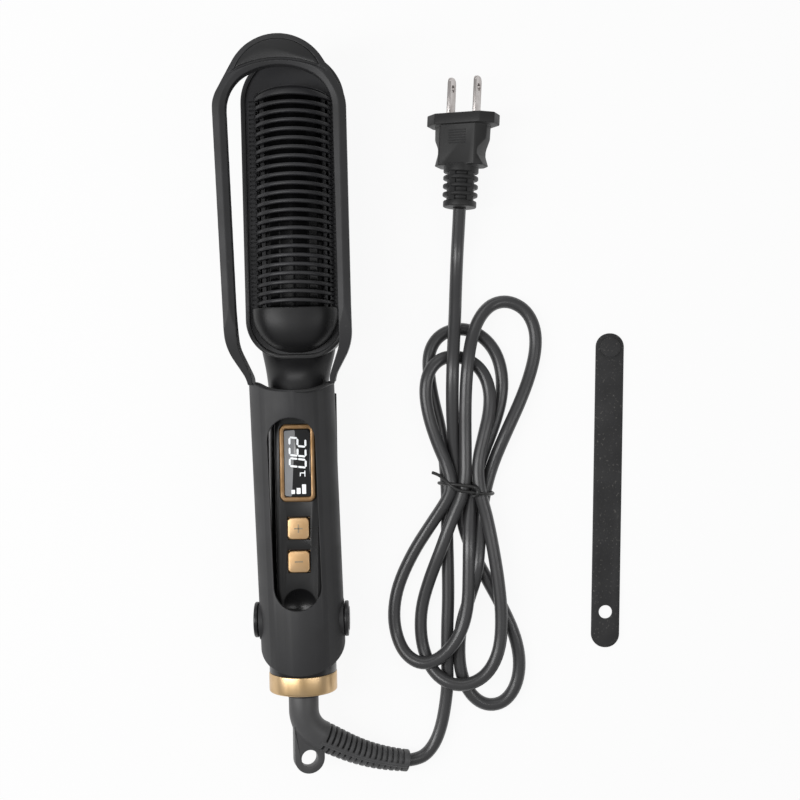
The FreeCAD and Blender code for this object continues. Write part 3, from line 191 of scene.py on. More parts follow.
def speckle(tree: Tree, place: Socket, size: float, detail: float, roughness: float = 0.5) -> Socket:
    """Adds a noise of a size.

    Args:
        tree: The material's node tree.
        place: The coordinates.
        size: The size of its features.
        detail: How many finer layers it has.
        roughness: How strong the finer layers are.

    Returns:
        The noise's socket.
    """
    settings = {"Scale": 1 / (size * MM), "Detail": detail, "Roughness": roughness}
    return add(tree, "ShaderNodeTexNoise", settings, {"Vector": place}).outputs["Fac"]


class Pattern(Enum):
    """How the fine relief of a finish runs: its stretch along each axis."""

    GRAIN = (1.0, 1.0, 1.0)
    BRUSHED = (1.0, 0.06, 1.0)
    TURNED = (0.02, 1.0, 0.02)


@dataclass(frozen=True)
class Finish:
    """A real material with the surface that its making left.

    Fields:
        name: The material's name.
        colour: The main colour.
        second: The colour of its uneven patches.
        roughness: The gloss of the main surface.
        spread: How much the gloss varies.
        metal: True for a bare metal.
        grain: The size of the fine relief.
        relief: The height of the fine relief.
        patch: The size of the uneven patches.
        pattern: How the relief runs.
        coat: The weight of a clear gloss on top.
        sheen: The weight of a soft dusty sheen.
        edge: The colour that sharp edges are tinted towards, or None.
        specks: The colour of dust specks, or None.
        shine: How strongly a plastic mirrors its surroundings, 0.5 for a bare one.
        glow: How strongly it is lit from behind.
    """

    name: str
    colour: str
    second: str
    roughness: float
    spread: float = 0.06
    metal: bool = False
    grain: float = 0.35
    relief: float = 0.01
    patch: float = 14.0
    pattern: Pattern = Pattern.GRAIN
    coat: float = 0.0
    sheen: float = 0.0
    edge: Optional[str] = None
    specks: Optional[str] = None
    shine: float = 0.5
    glow: float = 0.0

    @cache
    def made(self) -> bpy.types.Material:
        """Builds the node material, once.

        Returns:
            The material, with Object coordinates under every pattern.
        """
        material = bpy.data.materials.new(self.name)
        tree = blank(material)
        place = add(tree, "ShaderNodeTexCoord", {}, {}).outputs["Object"]
        stretched = add(tree, "ShaderNodeMapping", {"Scale": self.pattern.value}, {"Vector": place})
        fine = speckle(tree, stretched.outputs[0], self.grain, detail=3.0, roughness=0.6)
        broad = speckle(tree, place, self.patch, detail=2.0)
        colour = blended(tree, ramp(tree, broad, *PATCHES), self.colour, self.second)
        if self.specks:
            dust = speckle(tree, place, size=1.1, detail=4.0, roughness=0.7)
            colour = blended(tree, ramp(tree, dust, *DUST), colour, self.specks)
        if self.edge:
            edge_sharpness = add(tree, "ShaderNodeNewGeometry", {}, {}).outputs["Pointiness"]
            colour = blended(tree, ramp(tree, edge_sharpness, *EDGE_TINT), colour, self.edge)
        lowest = max(self.roughness - self.spread, GLOSSIEST)
        gloss = ramp(tree, broad, *GLOSS, lowest, self.roughness + self.spread)
        bump = add(tree, "ShaderNodeBump", {"Strength": 1.0, "Distance": self.relief * MM}, {"Height": fine})
        settings = {"Metallic": 1.0 if self.metal else 0.0, "Coat Weight": self.coat, "Coat Roughness": 0.06,
                    "Sheen Weight": self.sheen, "Sheen Roughness": 0.5}
        if not self.metal:
            settings["IOR"] = PLASTIC_IOR
            settings["Specular IOR Level"] = self.shine
        if self.glow:
            settings["Emission Color"] = linear(self.colour)
            settings["Emission Strength"] = self.glow
        shader = add(tree, "ShaderNodeBsdfPrincipled", settings,
                     {"Base Color": colour, "Roughness": gloss, "Normal": bump.outputs[0]})
        add(tree, "ShaderNodeOutputMaterial", {}, {"Surface": shader.outputs[0]})
        return material


# ---------------------------------------------------------------- the brush's finishes

# ABS moulded in a spark-eroded tool: a soft grey sheen with a fine even grain, a little lighter on edges.
MATTE_ABS = Finish("matte_moulded_abs", "#28282a", "#252526", 0.56, 0.04, grain=0.30, edge="#353536")
# ABS from a tool with a satin polish: darker, with clearer highlights.
SATIN_ABS = Finish("satin_moulded_abs", "#212122", "#1d1d1e", 0.38, 0.05, grain=0.5, relief=0.006)
# Glass-filled nylon that stands the heat of the plate: dark, satin, faintly mottled.
HEAT_NYLON = Finish("glass_filled_nylon", "#27272a", "#222224", 0.50, grain=0.4)
# The same nylon on the end of the comb, in a darker copy that paints the shade on its steep slope, with a
# soft broad highlight.
PAINTED_SHADE_NYLON = Finish("glass_filled_nylon_painted_shade", "#1a1a1b", "#171718", 0.45, 0.04, grain=0.4, relief=0.006,
                    shine=0.35)
# Polished ABS: deep black with sharp highlights.
GLOSS_ABS = Finish("polished_abs", "#151516", "#121213", 0.31, 0.04, grain=0.8, relief=0.003)
# Die-cast aluminium with a baked ceramic coat: near black and smooth.
COATED_ALUMINIUM = Finish("ceramic_coated_aluminium", "#0c0c0d", "#0a0a0b", 0.24, 0.03, grain=0.6,
                          relief=0.004, shine=0.05)
# Spun and lacquered gold aluminium: fine rings round the axis and long soft highlights.
GOLD_TURNED = Finish("gold_anodised_aluminium_turned", "#dabb91", "#ceae80", 0.34, 0.04, metal=True,
                     grain=0.5, relief=0.006, patch=9.0, pattern=Pattern.TURNED)
# The same gold on pressed caps, satin with a short brush grain.
GOLD_SATIN = Finish("gold_anodised_aluminium_brushed", "#d8b58a", "#cca77a", 0.44, 0.05, metal=True,
                    grain=0.4, relief=0.005, patch=6.0, pattern=Pattern.BRUSHED)
# Gold paint over a moulded frame: browner and duller than the metal.
GOLD_FRAME = Finish("gold_painted_frame", "#96795a", "#876a49", 0.40, 0.05, metal=True, grain=0.4,
                    relief=0.004, patch=5.0)
# Flexible PVC sheath: a thin bright line along each bend on a dark body.
CORD_PVC = Finish("flexible_pvc_sheath", "#404041", "#3a3a3b", 0.32, 0.05, grain=1.2, patch=20.0)
# Moulded PVC rubber of plugs: dull black with a dusty bloom.
SOFT_RUBBER = Finish("moulded_pvc_rubber", "#191919", "#151516", 0.52, grain=0.4, relief=0.012, sheen=0.05)
# The same, a little greyer, on the boot.
BOOT_RUBBER = Finish("moulded_pvc_boot", "#4b4b4c", "#444445", 0.46, grain=0.4, relief=0.012, sheen=0.05)
# Calendered rubber strap: dull, dusty, with pale specks and a fine leather-like grain.
STRAP_RUBBER = Finish("calendered_rubber_strap", "#252526", "#202021", 0.70, 0.05, grain=0.9, relief=0.04,
                      patch=10.0, sheen=0.08, specks="#6d6a66")
# Nickel-plated brass blades: bright grey metal with a faint warm cast and handling marks.
NICKEL = Finish("nickel_plated_brass", "#c3bebc", "#b3adaa", 0.36, 0.08, metal=True, grain=0.6,
                relief=0.004, patch=5.0, pattern=Pattern.BRUSHED)
# Plastic-coated binding wire: satin black.
TIE_WIRE = Finish("coated_binding_wire", "#2a2a2a", "#222222", 0.42, 0.05, grain=0.8, relief=0.02)
# White of the liquid-crystal segments, lit from behind.
SEGMENT_WHITE = Finish("lit_display_segments", "#f2f5f7", "#eceff1", 0.5, 0.02, relief=0.0, glow=0.35)
# Smoked acrylic lens over the display: black and mirror-smooth.
LENS_ACRYLIC = Finish("smoked_acrylic_lens", "#1b1c1e", "#18191b", 0.12, 0.02, grain=2.0, relief=0.001,
                      coat=0.3)
# Grey patch over part of the display: a painted reflection, a studio sheen on the lens painted as a fixed
# grey.
PAINTED_REFLECTION = Finish("painted_grey_lens_reflection", "#949597", "#86878a", 0.28, 0.03, grain=1.0, relief=0.001)
# Hidden spring steel: bright, with drawing lines.
STEEL = Finish("spring_steel", "#9a9a9c", "#8a8a8c", 0.32, 0.05, metal=True, pattern=Pattern.BRUSHED)
# Hidden sheet of pressed mica: golden beige and flaky.
MICA = Finish("pressed_mica", "#c3b084", "#b09c70", 0.55, 0.08, grain=0.8, relief=0.02, patch=4.0)
# Hidden bead that seals the thermistor: amber and glassy.
GLASS_BEAD = Finish("glass_bead", "#b5652c", "#9c5424", 0.12, 0.03, coat=0.5)
# Hidden board: green solder mask over a woven laminate.
LAMINATE = Finish("solder_masked_laminate", "#17573a", "#124a31", 0.34, 0.05, grain=0.8, patch=6.0)
# Hidden contacts of spring brass: warm yellow with drawing lines.
BRASS = Finish("spring_brass", "#c9a04e", "#b88f42", 0.28, 0.05, metal=True, pattern=Pattern.BRUSHED)
# Pad print on the gold caps: a faint grey-brown.
BUTTON_PRINT = Finish("pad_printed_grey", "#9a8a72", "#938369", 0.5, 0.03, relief=0.002)


# ---------------------------------------------------------------- modelling helpers

def unselected() -> None:
    """Deselects every object."""
    for other in bpy.context.selected_objects:
        other.select_set(False)


def alone(piece: Piece) -> None:
    """Selects one object and makes it active.

    Args:
        piece: The object.
    """
    unselected()
    piece.select_set(True)
    bpy.context.view_layer.objects.active = piece


def settled(piece: Piece) -> Piece:
    """Moves an object's place into its mesh, so that it sits at the origin.

    Args:
        piece: The object.

    Returns:
        The object.
    """
    alone(piece)
    bpy.ops.object.transform_apply(location=True, rotation=True, scale=True)
    return piece


def edited(piece: Piece) -> None:
    """Opens a mesh with everything selected.

    Args:
        piece: The object.
    """
    alone(piece)
    bpy.ops.object.mode_set(mode="EDIT")
    bpy.ops.mesh.select_all(action="SELECT")


def closed() -> None:
    """Turns all normals of the open mesh outward and leaves edit mode."""
    bpy.ops.mesh.select_all(action="SELECT")
    bpy.ops.mesh.normals_make_consistent(inside=False)
    bpy.ops.object.mode_set(mode="OBJECT")


def modified(piece: Piece, kind: str, **settings: object) -> Piece:
    """Adds a modifier and applies it.

    Args:
        piece: The object.
        kind: The modifier's type.
        settings: The modifier's settings.

    Returns:
        The object.
    """
    modifier = piece.modifiers.new(kind.lower(), kind)
    for key, value in settings.items():
        setattr(modifier, key, value)
    alone(piece)
    bpy.ops.object.modifier_apply(modifier=modifier.name)
    return piece


def eased(piece: Piece, width: float, segments: int = 2, angle: float = 30.0, clamp: bool = False) -> Piece:
    """Rounds the sharp edges of a piece.

    Args:
        piece: The object.
        width: The width of the rounded edge.
        segments: The steps across it.
        angle: Edges sharper than this are rounded, in degrees.
        clamp: True to keep rounded edges from overlapping.

    Returns:
        The object.
    """
    return modified(piece, "BEVEL", width=width * MM, segments=segments, limit_method="ANGLE",
                    angle_limit=math.radians(angle), use_clamp_overlap=clamp)


def smooth(piece: Piece, degrees: float = 35.0) -> Piece:
    """Smooths the shading of edges under an angle.

    Args:
        piece: The object.
        degrees: The angle, in degrees.

    Returns:
        The object.
    """
    alone(piece)
    bpy.ops.object.shade_smooth_by_angle(angle=math.radians(degrees))
    return piece


def dressed(piece: Piece, finish: Finish) -> Piece:
    """Gives an object one finish.

    Args:
        piece: The object.
        finish: The finish.

    Returns:
        The object.
    """
    piece.data.materials.clear()
    piece.data.materials.append(finish.made())
    return piece


def finished(piece: Piece, finish: Finish, body: str, node: str = "") -> Piece:
    """Dresses a piece, sets it on its body and reports it.

    Args:
        piece: The piece.
        finish: Its finish.
        body: The body it rides on.
        node: The sub-part that it stands for, or nothing.

    Returns:
        The piece.
    """
    dressed(piece, finish)
    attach(piece, body)
    if node:
        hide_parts(node)
    LOG.info("%s: %d faces", piece.name, len(piece.data.polygons))
    return piece


def sharp(edge: MeshEdge, degrees: float = 30.0) -> bool:
    """Tells whether two faces meet at an edge more sharply than an angle."""
    return len(edge.link_faces) == 2 and edge.calc_face_angle(0.0) >= math.radians(degrees)


def rounded(piece: Piece, test: Callable[[MeshEdge], bool], width: float) -> None:
    """Rounds the edges of a mesh that pass a test.

    Args:
        piece: The object.
        test: The test of an edge.
        width: The width of the rounded edge.
    """
    alone(piece)
    bpy.ops.object.mode_set(mode="EDIT")
    bpy.ops.mesh.select_mode(type="EDGE")
    bpy.ops.mesh.select_all(action="DESELECT")
    mesh = bmesh.from_edit_mesh(piece.data)
    for edge in mesh.edges:
        if test(edge):
            edge.select = True
    mesh.select_flush_mode()
    bmesh.update_edit_mesh(piece.data)
    bpy.ops.mesh.bevel(offset=width * MM, segments=3, affect="EDGES")
    bpy.ops.object.mode_set(mode="OBJECT")


def merged_node(frame: dict, node: str, name: str) -> Piece:
    """Copies a sub-part's mesh and joins its loose triangles.

    Args:
        frame: The loaded frame.
        node: The sub-part.
        name: The new piece's name.

    Returns:
        The copy.
    """
    piece = bpy.data.objects.new(name, frame["nodes"][node].data.copy())
    bpy.context.scene.collection.objects.link(piece)
    edited(piece)
    bpy.ops.mesh.remove_doubles(threshold=MERGE * MM)
    bpy.ops.mesh.dissolve_limited(angle_limit=math.radians(FLAT_DEGREES))
    closed()
    if piece.data.has_custom_normals:
        bpy.ops.mesh.customdata_custom_splitnormals_clear()
    return piece


def joined(name: str, pieces: Sequence[Piece]) -> Piece:
    """Joins objects into one.

    Args:
        name: The new piece's name.
        pieces: The objects.

    Returns:
        The joined piece, at the origin.
    """
    alone(pieces[0])
    for piece in pieces[1:]:
        piece.select_set(True)
    bpy.ops.object.join()
    piece = settled(bpy.context.object)
    piece.name = name
    piece.data.name = name
    return piece


def copied(master: Piece, places: Iterable[Matrix]) -> list[Piece]:
    """Copies a modelled piece to each place, with a mesh of its own, and deletes the master.

    Args:
        master: The piece.
        places: Where the copies go.

    Returns:
        The copies.
    """
    copies = []
    for place in places:
        piece = bpy.data.objects.new(master.name, master.data.copy())
        piece.matrix_world = place
        bpy.context.scene.collection.objects.link(piece)
        copies.append(settled(piece))
    bpy.data.objects.remove(master, do_unlink=True)
    return copies


def bar(length: float, width: float, height: float, blunt: float) -> Piece:
    """Models a low bar with cut corners, centred on its foot.

    Args:
        length: Along X.
        width: Along Y.
        height: Along Z.
        blunt: How much is cut off each corner.

    Returns:
        The bar.
    """
    unselected()
    bpy.ops.mesh.primitive_plane_add(size=1.0)
    piece = bpy.context.object
    piece.scale = (length * MM, width * MM, 1.0)
    edited(settled(piece))
    bpy.ops.mesh.bevel(offset=blunt * MM, segments=1, affect="VERTICES")
    bpy.ops.mesh.select_all(action="SELECT")
    bpy.ops.mesh.extrude_region_move(TRANSFORM_OT_translate={"value": (0.0, 0.0, height * MM)})
    closed()
    return piece


def line(name: str, place: Matrix, path: Sequence[Point], thickness: float, order: int = 3, rings: int = 3,
         steps: int = 5) -> Piece:
    """Models a round line as a curve.

    Args:
        name: The piece's name.
        place: Where its path lies.
        path: The control points.
        thickness: The diameter.
        order: The order of the curve.
        rings: How finely its section is rounded.
        steps: The steps from point to point.

    Returns:
        The curve.
    """
    unselected()
    bpy.ops.curve.primitive_nurbs_path_add()
    piece = bpy.context.object
    piece.name = name
    data = piece.data
    data.splines.clear()
    spline = data.splines.new("NURBS")
    spline.points.add(len(path) - 1)
    for point, spot in zip(spline.points, path):
        point.co = (*(place @ (Vector(spot) * MM)), 1.0)
    spline.order_u = order
    spline.use_endpoint_u = True
    data.bevel_depth = thickness / 2 * MM
    data.bevel_resolution = rings
    data.resolution_u = steps
    data.use_fill_caps = True
    return piece


def solid(piece: Piece) -> Piece:
    """Turns a line into a mesh.

    Args:
        piece: The line.

    Returns:
        The mesh.
    """
    alone(piece)
    bpy.ops.object.convert(target="MESH")
    return settled(smooth(bpy.context.object, 60.0))


def moved(place: Point, degrees: float = 0.0, axis: str = "Z") -> Matrix:
    """A place, with a turn about an axis."""
    return Matrix.Translation(Vector(place) * MM) @ Matrix.Rotation(math.radians(degrees), 4, axis)


def turned(centre: Point, degrees: float, axis: str) -> Matrix:
    """A turn about an axis through a centre."""
    return moved(centre, degrees, axis) @ moved(centre).inverted()


# ---------------------------------------------------------------- camera, floor and lights

@dataclass(frozen=True)
class Lamp:
    """A soft rectangular lamp.

    Fields:
        name: Its name.
        place: Where it stands.
        aim: What it points at.
        size: Its width and height.
        power: Its power in watts.
    """

    name: str
    place: Point
    aim: Point
    size: tuple[float, float]
    power: float

    def built(self) -> None:
        """Adds the lamp."""
        data = bpy.data.lights.new(self.name, "AREA")
        data.shape = "RECTANGLE"
        data.size, data.size_y = (side * MM for side in self.size)
        data.energy = self.power
        lamp = bpy.data.objects.new(self.name, data)
        lamp.location = Vector(self.place) * MM
        way = (Vector(self.aim) - Vector(self.place)).normalized()
        lamp.rotation_euler = way.to_track_quat("-Z", "Y").to_euler()
        bpy.context.scene.collection.objects.link(lamp)


LAMPS = (
    Lamp("lamp_left", (-470.0, -120.0, 560.0), (0.0, -110.0, 0.0), (170.0, 760.0), 3.7),
    Lamp("lamp_right", (390.0, -150.0, 560.0), (0.0, -120.0, 0.0), (34.0, 560.0), 0.66),
    Lamp("lamp_top", (-120.0, 700.0, 520.0), (0.0, -60.0, 0.0), (700.0, 300.0), 1.2),
)


@dataclass
class Studio:
    """The floor, the lamps and a camera that looks straight down.

    Fields:
        eye: Where the camera stands.
        turn: Its turn about the vertical, in degrees.
        lens: Its focal length.
        sensor: The width of its sensor.
        near: How near to it things are seen.
        side: The side of the floor.
        below: How far the floor lies under the object.
        paper: The share of its own light that the floor shows to the camera.
        room: The strength of the pale surroundings.
    """

    eye: Point = (45.6, -87.56, 570.05)
    turn: float = -0.977
    lens: float = 55.136
    sensor: float = 36.0
    near: float = 10.0
    side: float = 6000.0
    below: float = 0.2
    paper: float = 0.92
    room: float = 0.34

    def camera(self) -> None:
        """Adds the camera."""
        data = bpy.data.cameras.new("camera")
        data.lens = self.lens
        data.sensor_width = self.sensor
        data.clip_start = self.near * MM
        camera = bpy.data.objects.new("camera", data)
        camera.location = Vector(self.eye) * MM
        camera.rotation_euler = (0.0, 0.0, math.radians(self.turn))
        bpy.context.scene.collection.objects.link(camera)
        bpy.context.scene.camera = camera

    def floor(self) -> None:
        """Adds a pale floor that shows white to the camera and to reflections, and keeps its shadow."""
        bpy.ops.mesh.primitive_plane_add(size=self.side * MM, location=(0.0, 0.0, -self.below * MM))
        floor = settled(bpy.context.object)
        floor.name = "floor"
        material = bpy.data.materials.new("white_paper_sweep")
        tree = blank(material)
        rays = add(tree, "ShaderNodeLightPath", {}, {}).outputs
        seen = rays["Is Camera Ray"]
        for kind in ("Is Glossy Ray", "Is Transmission Ray"):
            seen = add(tree, "ShaderNodeMath", {"operation": "MAXIMUM"}, {0: seen, 1: rays[kind]}).outputs[0]
        weight = add(tree, "ShaderNodeMath", {"operation": "MULTIPLY", 1: self.paper}, {0: seen}).outputs[0]
        paper = add(tree, "ShaderNodeBsdfDiffuse", {"Color": linear("#e9e9e9")}, {}).outputs[0]
        light = add(tree, "ShaderNodeEmission", {"Color": linear("#ffffff"), "Strength": 1.0}, {}).outputs[0]
        mixed = add(tree, "ShaderNodeMixShader", {}, {0: weight, 1: paper, 2: light}).outputs[0]
        add(tree, "ShaderNodeOutputMaterial", {}, {"Surface": mixed})
        floor.data.materials.append(material)

    def surroundings(self) -> None:
        """Adds a pale room that shows white to the camera."""
        world = bpy.data.worlds.new("pale_room")
        tree = blank(world)
        rays = add(tree, "ShaderNodeLightPath", {}, {})
        strength = ramp(tree, rays.outputs["Is Camera Ray"], 0.0, 1.0, self.room, 1.0)
        back = add(tree, "ShaderNodeBackground", {"Color": linear("#ffffff")}, {"Strength": strength})
        add(tree, "ShaderNodeOutputWorld", {}, {"Surface": back.outputs[0]})
        bpy.context.scene.world = world

    def built(self) -> None:
        """Builds the studio."""
        bpy.context.scene.view_settings.view_transform = "Standard"
        self.camera()
        self.floor()
        for lamp in LAMPS:
            lamp.built()
        self.surroundings()


# ---------------------------------------------------------------- the cord

@dataclass
class Cord:
    """The mains cord: out of the boot, tied in a hank of six loops, and on to the plug.

    Fields:
        diameter: Its thickness.
        start: Where it leaves the boot.
        lead: The control points from there to the tie.
        loops: Those of the six loops in turn, each from the tie round one end of the hank.
        tail: Those from the tie to the plug.
    """

    diameter: float = 5.9
    start: Point = (46.1, -253.5, 5.7)
    lead: tuple[Point, ...] = (
        (50.9, -253.4, 4.3), (55.6, -251.0, 3.4), (59.6, -245.6, 3.1), (62.4, -238.0, 3.0),
        (64.2, -229.0, 3.0), (65.4, -219.5, 3.0), (65.4, -208.0, 3.0), (65.6, -194.0, 3.0),
        (66.4, -180.0, 3.0), (66.5, -165.0, 3.0), (66.3, -150.0, 3.0), (66.6, -139.0, 3.0))
    loops: tuple[tuple[Point, ...], ...] = (
        ((66.6, -127.5, 4.5), (65.6, -112.0, 3.0), (63.6, -99.0, 3.0), (60.6, -86.4, 3.0),
         (59.0, -75.0, 3.0), (59.3, -65.6, 3.0), (63.4, -58.6, 3.0), (70.6, -55.2, 3.0), (78.0, -55.4, 3.0),
         (85.4, -59.6, 3.0), (90.8, -67.0, 3.0), (93.2, -77.0, 3.0), (92.6, -88.0, 3.0),
         (88.6, -101.0, 3.0), (82.8, -114.6, 3.0)),
        ((78.2, -129.1, 4.6), (76.8, -140.0, 6.2), (76.1, -154.2, 9.0), (75.8, -167.0, 9.2),
         (75.3, -181.0, 9.2), (72.6, -192.6, 9.2), (67.0, -201.6, 9.2), (60.0, -207.4, 9.2),
         (52.6, -208.6, 9.0), (46.0, -204.6, 6.2), (42.2, -197.0, 3.2), (40.8, -186.4, 3.0),
         (43.0, -173.5, 3.0), (50.2, -158.3, 3.0), (58.6, -145.6, 4.6)),
        ((66.4, -134.0, 8.2), (69.0, -127.4, 9.8), (66.6, -117.5, 8.6), (62.6, -108.2, 8.6),
         (58.6, -95.6, 8.8), (57.0, -84.0, 9.0), (58.6, -75.2, 9.2), (63.4, -69.4, 8.2), (70.0, -67.6, 6.2),
         (77.6, -69.4, 5.6), (83.8, -74.6, 6.4), (87.0, -83.4, 7.4), (86.6, -93.6, 8.0),
         (83.8, -104.4, 8.6), (80.6, -117.0, 8.8)),
        ((81.1, -129.5, 9.8), (84.6, -142.0, 8.8), (87.4, -158.0, 9.0), (89.4, -172.0, 9.2),
         (90.6, -188.0, 9.2), (89.4, -203.0, 9.2), (83.8, -213.8, 9.2), (74.8, -218.8, 9.2),
         (65.6, -218.0, 9.0), (58.6, -212.8, 6.0), (54.6, -204.0, 3.2), (53.2, -194.0, 3.0),
         (54.0, -182.6, 3.2), (58.0, -169.6, 5.2), (63.4, -156.0, 8.4), (68.2, -142.8, 9.2)),
        ((74.8, -128.6, 9.9), (75.2, -112.0, 9.4), (75.2, -98.0, 10.2), (75.6, -84.0, 11.2),
         (76.6, -71.6, 12.2), (78.6, -60.2, 10.8), (82.4, -50.4, 7.2), (88.6, -43.8, 3.8),
         (96.4, -42.4, 3.0), (104.2, -46.4, 3.0), (108.6, -54.6, 3.0), (109.0, -64.6, 3.0),
         (106.2, -76.4, 3.2), (101.0, -89.4, 4.6), (94.4, -103.0, 5.4), (88.2, -117.0, 3.6)),
        ((84.1, -129.9, 4.5), (82.2, -142.0, 3.6), (81.0, -154.0, 7.0), (79.6, -167.6, 9.0),
         (76.0, -180.0, 3.6), (72.4, -190.6, 3.0), (70.8, -202.0, 3.0), (71.4, -214.0, 3.0),
         (75.4, -224.0, 3.0), (82.6, -229.6, 3.0), (91.0, -228.6, 3.0), (97.0, -221.4, 3.0),
         (99.2, -210.6, 3.0), (97.4, -198.4, 3.0), (91.6, -184.6, 3.0), (84.6, -171.4, 3.0),
         (77.6, -158.0, 3.0), (73.2, -144.0, 3.0)))
    tail: tuple[Point, ...] = (
        (72.2, -128.4, 4.5), (70.8, -115.0, 4.4), (69.6, -100.0, 8.0), (69.4, -86.0, 11.4),
        (69.8, -73.0, 13.2), (70.6, -61.0, 11.4), (71.4, -50.0, 8.2), (72.0, -40.0, 5.4),
        (72.6, -29.0, 4.4), (73.2, -18.5, 5.4), (73.8, -8.5, 9.0), (74.2, -0.4, 11.9))

    def built(self, pieces: Sequence[Piece]) -> None:
        """Builds the cord as one smooth line.

        Args:
            pieces: The separate pieces on the cord; not used.
        """
        points = sum(self.loops, (self.start, *self.lead)) + self.tail
        piece = dressed(line("mains_cord", Matrix(), points, self.diameter, rings=4), CORD_PVC)
        piece.data.name = piece.name
        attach(piece, "cord_swivel_body")
        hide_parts("cord_lead", "cord_hank", "cord_tail")


# ---------------------------------------------------------------- the head, the hoop and the neck

@dataclass
class Hoop:
    """The moulded hoop: its facets meet in soft creases.

    Fields:
        voxel: The size of the cells that it is remeshed in.
        strength: How far each round softens the creases.
        rounds: How often they are softened.
        kept: The share of the faces that stays.
    """

    voxel: float = 0.25
    strength: float = 0.5
    rounds: int = 2
    kept: float = 0.55

    def built(self, frame: dict) -> None:
        """Builds the hoop from its solid.

        Args:
            frame: The loaded frame.
        """
        piece = merged_node(frame, "guard_hoop", "guard_hoop_moulded")
        modified(piece, "REMESH", mode="VOXEL", voxel_size=self.voxel * MM, adaptivity=0.0)
        modified(piece, "SMOOTH", factor=self.strength, iterations=self.rounds)
        modified(piece, "DECIMATE", decimate_type="COLLAPSE", ratio=self.kept)
        finished(smooth(piece, 60.0), MATTE_ABS, "lever", node="guard_hoop")


@dataclass
class Neck:
    """The smooth taper between the head and the handle.

    Fields:
        sections: The station along the brush, the half width, the underside and the top of each ring.
        sides: The points round a ring.
        edge: The width of the rounded edge at each end.
    """

    sections: tuple[Section, ...] = (
        (-57.5, 17.3, 3.2, 22.4), (-61.0, 17.1, 3.4, 22.6), (-64.5, 16.7, 3.8, 23.0),
        (-68.0, 15.9, 4.3, 23.8), (-71.5, 15.0, 4.9, 26.0), (-75.0, 14.3, 5.4, 28.7),
        (-78.5, 13.7, 5.8, 30.6), (-83.6, 13.2, 6.0, 31.5))
    sides: int = 64
    edge: float = 0.4

    def built(self) -> None:
        """Builds the neck ring by ring."""
        station, half, low, high = self.sections[0]
        middle = Vector((0.0, station, (low + high) / 2)) * MM
        unselected()
        bpy.ops.mesh.primitive_circle_add(vertices=self.sides, radius=MM, fill_type="NGON", location=middle,
                                          rotation=(math.pi / 2, 0.0, 0.0))
        piece = settled(bpy.context.object)
        piece.name = "neck_moulded"
        edited(piece)
        bpy.ops.transform.resize(value=(half, 1.0, (high - low) / 2), center_override=middle)
        for after, wide, under, top in self.sections[1:]:
            step = Vector((0.0, after - station, (under + top - low - high) / 2)) * MM
            bpy.ops.mesh.extrude_region_move(TRANSFORM_OT_translate={"value": step})
            middle += step
            bpy.ops.transform.resize(value=(wide / half, 1.0, (top - under) / (high - low)),
                                     center_override=middle)
            station, half, low, high = after, wide, under, top
        closed()
        eased(piece, self.edge, angle=60.0, clamp=True)
        modified(piece, "SUBSURF", levels=1, render_levels=1)
        finished(smooth(piece, 60.0), SATIN_ABS, "root", node="neck")


class Outline(Enum):
    """The plan of a dome on the comb."""

    SQUARE = "square with two round corners"
    BOW = "a shallow bow"


